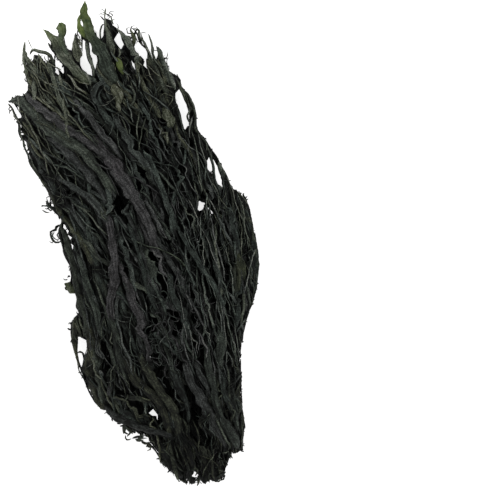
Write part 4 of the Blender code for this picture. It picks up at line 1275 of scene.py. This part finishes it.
        ("ribbon", (0.6, 1.4, 1.8, 1.6), 0, 0.35, 0, 0, [(42, 205), (50, 206), (57, 211), (64, 220), (70, 232)]),
    ],
    "foot_ribbons": [
        ("blade", (2.4, 4.0, 4.6, 4.4, 4.4, 3.6), 2.5, 0.7, -0.5, 0,
         [(186, 360), (191, 381), (199, 396), (209, 415), (217, 431), (226, 449)]),
        ("blade", (1.6, 3.0, 3.8, 3.8, 3.4, 4.0, 4.8, 4.0), 2.5, 0.65, 0.2, 0,
         [(205, 340), (207, 352), (209, 369), (213, 388), (216, 405), (222, 421), (231, 437), (237, 449)]),
        ("ribbon", (1.6, 2.6, 2.6, 1.6), 2, 0.6, -0.4, 0, [(192, 358), (197, 369), (204, 382), (210, 398)]),
        ("ribbon", (1.6, 2.6, 2.6, 1.6), 1.5, 0.45, 0, 0,
         [(222, 370), (224, 388), (229, 404), (236, 420), (239, 436)]),
        ("ribbon", (1.6, 2.6, 3.6, 4.0, 3.6, 2.0, 1.9, 1.4), 1, 0.3, -0.1, 0,
         [(163, 350), (168, 362), (172, 372), (179, 386), (183, 394), (186, 402), (188, 412), (188, 424)]),
        ("ribbon", (2.4, 3.8, 4.2, 4.0, 3.8, 3.0), 2, 0.55, 0.8, 0,
         [(136, 352), (149, 372), (160, 390), (172, 405), (177, 420), (180, 437)]),
        ("ribbon", (2.4, 3.6, 3.8, 3.6, 3.4, 3.4, 2.4), 1.5, 0.4, 0.9, 0,
         [(122, 345), (130, 369), (143, 388), (153, 397), (162, 407), (168, 426), (172, 437)]),
        ("ribbon", (2.4, 3.8, 4.0, 3.8, 2.6), 2, 0.4, -0.4, 0,
         [(104, 404), (114, 415), (128, 422), (146, 428), (160, 432), (177, 441)]),
        ("ribbon", (1.2, 2.2, 2.2, 1.2), 2, 0.6, 0.6, 0, [(122, 395), (131, 398), (142, 400), (152, 403)]),
        ("ribbon", (1.6, 2.8, 3.0, 2.0), 1, 0.4, 0, 0, [(113, 404), (121, 411), (132, 416), (146, 423)]),
        ("string", (0.5, 0.8, 0.6), 3, 1.3, 1, 0.05, [(138, 396), (147, 400), (155, 399)]),
        ("ribbon", (1.4, 2.6, 2.6, 1.8), 2.5, 0.85, -0.7, 0, [(112, 378), (110, 388), (107, 399)]),
        ("string", (0.4, 0.7, 0.5), 1, 0.8, -0.3, 0, [(203, 412), (203, 422), (205, 431), (209, 440)]),
        # Hidden blades low under the foot's pockets, with a shade so low that they come out black: painted shade.
        ("hidden", (5.0, 6.5, 6.5, 6.5, 5.0), -14, -2, 0.8, 0,
         [(161, 404), (163, 420), (168, 440), (180, 462), (190, 476)]),
        ("hidden", (5.0, 6.0, 5.0), -12, -2, 0.8, 0, [(146, 415), (152, 426), (162, 436)]),
        ("hidden", (4.0, 6.0, 6.0, 5.0), -13, -2, 0.8, 0, [(103, 364), (115, 380), (130, 394), (145, 404)]),
        ("hidden", (4.0, 7.0, 7.0, 6.0), -14, -2, 0.8, 0, [(176, 396), (186, 424), (194, 448), (200, 474)]),
        ("hidden", (4.0, 7.0, 7.0, 5.0), -14, -2, 0.8, 0, [(200, 390), (207, 416), (212, 438), (214, 470)]),
        ("hidden", (4.0, 6.0, 6.0, 5.0), -13, -2, 0.8, 0, [(222, 376), (229, 398), (232, 420), (228, 452)]),
        ("hidden", (4.0, 6.0, 6.0, 4.0), -13, -2, 0.8, 0, [(100, 385), (118, 399), (138, 407), (156, 422)]),
        ("hidden", (4.0, 6.0, 6.0, 5.0), -14, -2, 0.8, 0, [(138, 352), (146, 376), (152, 396), (164, 420)]),
        ("hidden", (4.0, 6.0, 6.0, 5.0), -14, -2, 0.8, 0, [(112, 346), (124, 366), (134, 386), (142, 404)]),
        ("ribbon", (2.4, 3.0, 3.0, 2.4), 0, 0.6, 0.8, 0, [(176, 436), (182, 447), (186, 460), (187, 476)]),
        ("ribbon", (1.8, 3.4, 2.0), -4, 0.5, 0.3, 0, [(200, 441), (204, 447), (206, 454)]),
        ("ribbon", (2.4, 3.6, 3.0, 1.6), -2, 0.4, -0.3, 0, [(228, 440), (217, 447), (206, 458), (197, 466)]),
        ("ribbon", (1.8, 2.8, 2.8, 2.0), -4, 0.3, 0.9, 0, [(231, 447), (228, 460), (222, 471), (213, 481)]),
        ("strap", (0.8, 1.2, 1.0), -5, 0.7, 0.3, 0, [(192, 468), (204, 469), (216, 465)]),
        ("blade", (3.0, 5.5, 6.0, 4.0), -1, 0.15, 0.3, 0, [(158, 438), (164, 452), (172, 465), (182, 478)]),
        ("ribbon", (1.4, 2.2, 2.2, 1.6), 1.5, 0.6, 0.3, 0, [(107, 338), (111, 352), (116, 365), (123, 377)]),
        ("ribbon", (1.6, 3.2, 3.2, 2.0), 1.5, 0.45, 0.3, 0, [(113, 324), (118, 345), (123, 366), (130, 382)]),
        ("ribbon", (1.4, 2.8, 2.8, 1.8), 1.5, 0.5, 0.2, 0, [(228, 376), (232, 396), (235, 416), (238, 436)]),
    ],
}
print("ribbons:", {name: len(rows) for name, rows in ROUTES.items()})

# %% [markdown]
# ## Laying the ribbons over the sheaf
#
# A route is drawn as seen from above, so each of its points is brought to the height of the sheaf's top there.
# An end that leaves the sheaf's surface dips in among the other strands, so it doesn't look cut off.

# %% Ribbons at their places
# The pieces whose ribbons don't part at the pockets, those that no opening cuts, and how much paler than their
# rows say the ribbons of some pieces are.
TRACED = ("left_edge_ribbons", "foot_ribbons")
WHOLE_PIECES = ("green_blade_1", "green_blade_2", "left_edge_ribbons")
# The tip ribbons are made paler, partly as painted light. The middle and foot ribbons are made darker.
PALER_PIECES = {"tip_ribbons": 1.0, "middle_ribbons": -0.3, "foot_ribbons": -0.35}
ROUTE_POINTS = 14
ROUTE_SMOOTHING = 6
ROUTE_WAVE = (0.8, 25)
ROUTE_FLOOR = 0.6
SINK = 4.0
SINK_LENGTH = 14.0
RIBBON_CURL = (-1.1, -0.2)
TWIGS_A_RIBBON = 3


def on_route(route, lift, rng, sunk=(True, True)):
    """Points in millimetres over the sheaf along a route in pixels, whose ends dip into the sheaf."""
    route = np.array(route, float)
    pixels = through(route, np.linspace(0, len(route) - 1, ROUTE_POINTS * len(route)))
    z = np.full(len(pixels), VIEW_MIDDLE[2] / MM)
    for _ in range(2):
        points = from_view(pixels, z)
        z = smoothed(top_height(points), ROUTE_SMOOTHING)
    along = arc_length(points)
    z = z + lift + ragged(along, rng, *ROUTE_WAVE)
    for end, distance in zip(sunk, (along, along[-1] - along)):
        if end:
            z = z - SINK * (1 - np.minimum(distance / SINK_LENGTH, 1)) ** 2
    return from_view(pixels, np.maximum(z, ROUTE_FLOOR))


for name, rows in ROUTES.items():
    rng = random.Random(name)
    strands = []
    for kind, halves, lift, shade, tint, greens, route in rows:
        points = on_route(route, lift, rng)
        share = arc_length(points) / arc_length(points)[-1]
        half = np.interp(share, np.linspace(0, 1, len(halves)), halves)
        green = np.interp(share, np.linspace(0, 1, np.size(greens)), np.atleast_1d(greens))
        strands += strands_of(points, half, kind, rng, curl=rng.uniform(*RIBBON_CURL), tint=tint, green=green,
                              shade=shade + PALER_PIECES.get(name, 0), kink=1.2 if kind == "string" else 0.7,
                              sway=0.4, free=kind in ("string", "strap") or name in WHOLE_PIECES,
                              parted=name not in TRACED)
    for _ in range(TWIGS_A_RIBBON * len(rows)):
        strands += twig(rng.choice(strands), rng)
    make_piece(name + "_dried", strands, SLOT_OF.get(name, "dark_frond"), [name] if name in SLOT_OF else ())

# %% [markdown]
# ## Loose strands over the sheaf
#
# The rest of what shows is a thatch of ribbons and strings that cross each other at small angles. They follow
# the sheaf's run: leaning about 40 degrees from upright at its upper left, less towards its foot, and nearly
# upright along its right edge. The table gives that lean in degrees at seven heights and five places across.

# %% Lean of the loose strands
# The table's heights and places across in the view, in pixels.
PLACE_ROWS = (40, 100, 160, 230, 300, 370, 440)
PLACE_COLUMNS = (20, 80, 140, 200, 250)
LEANS = np.array([
    (15, 35, 25, 20, 20), (40, 42, 32, 18, 20), (38, 42, 38, 15, 22), (20, 28, 33, 12, 8),
    (12, 14, 24, 14, 0), (14, 18, 24, 18, 2), (30, 35, 30, 20, -5),
], float)


def lean_at(pixel):
    """The lean in degrees at a pixel of the view."""
    column = np.interp(pixel[0], PLACE_COLUMNS, np.arange(len(PLACE_COLUMNS)))
    return np.interp(pixel[1], PLACE_ROWS, [np.interp(column, np.arange(len(row)), row) for row in LEANS])


print("lean at the middle of the sheaf, degrees:", round(float(lean_at((134, 240))), 1))

# %% [markdown]
# ## Layers of loose strands
#
# They are laid in layers: broad blades at the bottom, which close the sheaf, then ribbons, straps and strings.
# The foot and the right side get some more of their own.

# %% Loose strands
# Parts of the view that strands are laid in, as left, top, right and bottom in pixels.
WHOLE_SHEAF = (8, 15, 260, 485)
RIGHT_SIDE = (180, 130, 258, 340)
LOWER_RIGHT = (186, 230, 252, 430)
FOOT = (150, 415, 246, 485)
FOOT_LEFT = (90, 370, 170, 450)
# Each group's kind and number, its half widths and lengths in millimetres, how far its strands stray from the
# lean in degrees, their heights over the sheaf's top in millimetres, where they lie, and how much paler they are.
# The hidden blades and the foot's ribbons deep inside are made darker as painted shade. The strings and straps on the
# right side are paler, partly as painted glints.
THATCH = {
    "thatch_blades": [("blade", 30, (2.6, 4.4), (50, 120), 8, (-5.0, -0.5), WHOLE_SHEAF, 0),
                      ("hidden", 40, (4.0, 6.0), (60, 120), 8, (-18.0, -12.0), WHOLE_SHEAF, -1),
                      ("ribbon", 26, (2.2, 3.6), (25, 60), 14, (-11.0, -3.0), FOOT, -0.3),
                      ("ribbon", 16, (2.2, 3.4), (30, 60), 14, (-11.0, -4.0), FOOT_LEFT, -0.3)],
    "thatch_ribbons": [("ribbon", 150, (1.2, 2.6), (35, 110), 11, (-3.0, 1.0), WHOLE_SHEAF, 0)],
    "thatch_straps": [("strap", 280, (0.7, 1.3), (25, 90), 13, (-2.5, 1.6), WHOLE_SHEAF, 0),
                      ("strap", 44, (0.8, 1.6), (20, 60), 11, (0.5, 3.5), LOWER_RIGHT, 0.5)],
    "thatch_strings": [("string", 320, (0.35, 0.8), (20, 80), 22, (-1.5, 2.2), WHOLE_SHEAF, 0),
                       ("string", 130, (0.4, 0.8), (20, 80), 9, (0.5, 3.5), RIGHT_SIDE, 0.7),
                       ("string", 30, (0.35, 0.7), (15, 40), 30, (-2.0, 2.0), FOOT, 0)],
}


DRIFT_PIXELS = 6


def drift_route(rng, length, spread, place):
    """A route in pixels through a random place of the sheaf, along its run give or take the spread."""
    while True:
        start = np.array((rng.uniform(place[0], place[2]), rng.uniform(place[1], place[3])))
        if shows_dark(from_view(start[None], np.array([VIEW_MIDDLE[2] / MM])))[0]:
            break
    turned, bend = rng.gauss(0, spread), rng.gauss(0, spread / 4)
    halves = []
    for direction in (-1, 1):
        steps = max(round(length / 2 / DRIFT_PIXELS), 2)
        route = [start]
        for step in range(steps):
            lean = lean_at(route[-1]) + turned + direction * bend * step / 3 + rng.gauss(0, spread / 3)
            angle = math.radians(lean)
            route.append(route[-1] + direction * DRIFT_PIXELS * np.array((math.sin(angle), math.cos(angle))))
        halves.append(route)
    return halves[0][:0:-1] + halves[1]


for name, groups in THATCH.items():
    rng = random.Random(name)
    strands = []
    for kind, count, sizes, lengths, spread, lifts, place, paler in groups:
        for _ in range(count):
            route = drift_route(rng, rng.uniform(*lengths) / PIXEL_MM, spread, place)
            points = on_route(route, rng.uniform(*lifts), rng)
            share = arc_length(points) / arc_length(points)[-1]
            half = rng.uniform(*sizes) * (0.5 + 0.5 * np.sin(math.pi * (0.08 + 0.84 * share)))
            strands += strands_of(points, half, kind, rng, paler=paler)
    for _ in range(len(strands) // 3):
        strands += twig(rng.choice(strands), rng)
    make_piece(name, strands, "dark_frond")

# %% [markdown]
# ## Tangles
#
# Where a blade tore to threads as it dried, the threads curl up into small tangles. The biggest lies over the
# lower middle.

# %% Tangles
# Each tangle's middle and half size in pixels, how many threads it has, their length and their half thickness in
# millimetres.
TANGLES = [
    (166, 322, 20, 30, 26, (14, 40), (0.3, 0.7)), (165, 352, 16, 12, 16, (14, 34), (0.3, 0.7)),
    (222, 224, 14, 26, 16, (12, 34), (0.3, 0.7)), (236, 252, 14, 12, 14, (8, 24), (0.3, 0.7)),
    (208, 308, 14, 12, 14, (12, 30), (0.3, 0.7)), (128, 92, 12, 10, 10, (8, 22), (0.3, 0.7)),
    (118, 66, 8, 10, 7, (6, 16), (0.3, 0.6)), (168, 110, 12, 12, 12, (10, 26), (0.3, 0.6)),
    (157, 62, 10, 14, 9, (8, 20), (0.4, 0.7)), (32, 72, 6, 12, 8, (6, 16), (0.5, 0.8)),
    (57, 236, 4, 6, 5, (5, 9), (0.5, 0.9)), (49, 206, 7, 3, 6, (4, 9), (0.5, 0.9)),
    (46, 57, 9, 7, 6, (5, 12), (0.4, 0.7)), (135, 34, 6, 5, 9, (5, 12), (0.5, 0.9)),
    (107, 20, 4, 10, 7, (4, 9), (0.4, 0.8)), (114, 26, 4, 8, 6, (4, 9), (0.4, 0.8)),
    (128, 433, 5, 3, 5, (5, 9), (1.2, 2.0)), (139, 438, 5, 3, 6, (5, 9), (1.2, 2.0)),
    (148, 444, 4, 4, 5, (5, 9), (1.2, 2.0)), (192, 476, 12, 4, 7, (5, 10), (1.2, 2.0)),
    (216, 474, 7, 5, 6, (5, 10), (1.2, 2.0)), (229, 453, 7, 4, 5, (5, 9), (1.0, 1.8)),
    (240, 318, 5, 9, 7, (5, 12), (0.4, 0.8)),
]
# Threads from this half thickness on are straps. A thread's steps are in millimetres and its turns in radians.
CHUNKY = 0.5
THREAD_STEP = 3.0
TURN = 0.55
HOMEWARD = 0.5


def thread(rng, middle, reach, length):
    """A route in pixels that wanders about a tangle's middle."""
    pixel = np.array(middle) + np.array([rng.uniform(-1, 1) * half for half in reach])
    heading, bend = rng.uniform(0, 2 * math.pi), rng.uniform(-0.3, 0.3)
    route = [pixel]
    for _ in range(max(round(length / THREAD_STEP), 2)):
        away = (pixel - middle) / reach
        if np.hypot(*away) > 1:
            homeward = math.atan2(*(np.array(middle) - pixel)[::-1])
            heading += HOMEWARD * math.remainder(homeward - heading, 2 * math.pi)
        heading += bend + rng.gauss(0, TURN)
        pixel = pixel + THREAD_STEP / PIXEL_MM * np.array((math.cos(heading), math.sin(heading)))
        route.append(pixel)
    return route


rng = random.Random("tangles")
strands = []
for x, y, half_x, half_y, count, lengths, sizes in TANGLES:
    for _ in range(count):
        route = thread(rng, (x, y), np.array((half_x, half_y)), rng.uniform(*lengths))
        points = on_route(route, rng.uniform(0, 2.5), rng, sunk=(True, False))
        size = rng.uniform(*sizes) * np.linspace(1, 0.6, len(points))
        strands += strands_of(points, size, "strap" if sizes[0] >= CHUNKY else "string", rng, kink=0.6,
                              shade=rng.uniform(0.2, 1.0), free=True)
make_piece("tangles", strands, "dark_frond")

# %% [markdown]
# ## Frills
#
# Short threads stick out all round the sheaf and make its edge rough. They start a little inside the outline.
# The tips have none, because they are thin enough to end in threads themselves.

# %% Frills
# All in pixels of the view, but for the fan and the turns, which are in radians.
FRILL_SPACING = 4.5
FRILL_SHIFT = 2
FRILLS_BELOW = 56
FRILL_AHEAD = 4
FRILL_ROOT = 3.0
FRILL_STEP = 1.3
FRILL_STEPS = 3
FRILL_FAN = 1.2
FRILL_TURN = 0.9

rng = random.Random("frills")
strands = []
edge = np.array([*OUTLINE, OUTLINE[0]], float)
edge_length = arc_length(edge)
for at in np.arange(0, edge_length[-1], FRILL_SPACING):
    start = np.array([np.interp(at + rng.uniform(-FRILL_SHIFT, FRILL_SHIFT), edge_length, edge[:, k])
                      for k in range(2)])
    if start[1] < FRILLS_BELOW:
        continue
    ahead = np.array([np.interp(at + FRILL_AHEAD, edge_length, edge[:, k]) for k in range(2)]) - start
    outward = math.atan2(ahead[1], ahead[0]) - math.pi / 2
    heading = outward + rng.uniform(-FRILL_FAN, FRILL_FAN)
    route = [start - FRILL_ROOT * np.array((math.cos(outward), math.sin(outward)))]
    for _ in range(FRILL_STEPS):
        route.append(route[-1] + FRILL_STEP * np.array((math.cos(heading), math.sin(heading))))
        heading += rng.gauss(0, FRILL_TURN)
    points = on_route(route, rng.uniform(-6, -1), rng, sunk=(False, False))
    strands += strands_of(points, rng.uniform(0.7, 1.5) * np.linspace(1, 0.7, len(points)), "string", rng, kink=0.5,
                          shade=rng.uniform(0.2, 0.8), free=True)
make_piece("edge_frills", strands, "dark_frond")
print("triangles in all:", sum(TRIANGLES))

# %% [markdown]
# ## Painted shade in the gaps
#
# What lies a millimetre or two below the strands around it is darkened with painted shade, and what sticks out
# is not. So each point is measured against the mean height of the strands around it. The top of the sheaf is
# used for faces that look up, and its underside for faces that look down. Two reaches are used: a short one
# for the gaps between ribbons, and a long one for the pockets.

# %% Depth in the sheaf
# The grid's cell, and the reaches in cells.
GRID_CELL = 0.8 * MM
SHORT_REACH = 3
LONG_REACH = 16
LONG_ALLOWANCE = 2.5 * MM
GRID_MARGIN = 2


def box_mean(values, filled, reach):
    """The mean of the filled cells within reach of each cell."""
    def total(grid):
        summed = np.pad(grid, ((reach + 1, reach), (reach + 1, reach))).cumsum(0).cumsum(1)
        size = 2 * reach + 1
        return summed[size:, size:] - summed[:-size, size:] - summed[size:, :-size] + summed[:-size, :-size]
    return total(values * filled) / np.maximum(total(filled.astype(float)), 1)


def outer_level(cells, heights, shape):
    """The height, cell by cell, that the outermost points reach on average."""
    top = np.full(shape, -1.0)
    np.maximum.at(top, cells, heights)
    for axis in (0, 1):
        top = np.maximum(top, np.maximum(np.roll(top, 1, axis), np.roll(top, -1, axis)))
    filled = top > -1
    everywhere = np.where(filled, top, top[filled].min())
    long_mean = box_mean(everywhere, np.ones_like(filled), LONG_REACH)
    return np.maximum(box_mean(top, filled, SHORT_REACH), long_mean - LONG_ALLOWANCE)


coordinates, normals = [], []
for mesh in PIECES:
    for found, source in ((coordinates, mesh.vertices), (normals, mesh.vertex_normals)):
        values = np.empty(3 * len(mesh.vertices), np.float32)
        source.foreach_get("co" if found is coordinates else "vector", values)
        found.append(values.reshape(-1, 3))
sizes = [len(part) for part in coordinates]
coordinates, normals = np.concatenate(coordinates), np.concatenate(normals)
lowest = coordinates.min(0)
cells = tuple(((coordinates[:, :2] - lowest[:2]) / GRID_CELL).astype(int).T + GRID_MARGIN)
shape = tuple(int(axis.max()) + GRID_MARGIN + 1 for axis in cells)
below_top = outer_level(cells, coordinates[:, 2], shape)[cells] - coordinates[:, 2]
above_bottom = coordinates[:, 2] + outer_level(cells, -coordinates[:, 2], shape)[cells]
looks_up = np.clip(0.5 + normals[:, 2] * 2, 0, 1)
depth = looks_up * below_top + (1 - looks_up) * above_bottom
for mesh, values in zip(PIECES, np.split(depth, np.cumsum(sizes)[:-1])):
    mesh.attributes.new("deep", "FLOAT", "POINT").data.foreach_set("value", values.astype(np.float32))
print("depth in mm, at each tenth of the points:", (np.percentile(depth, range(0, 101, 10)) / MM).round(1).tolist())
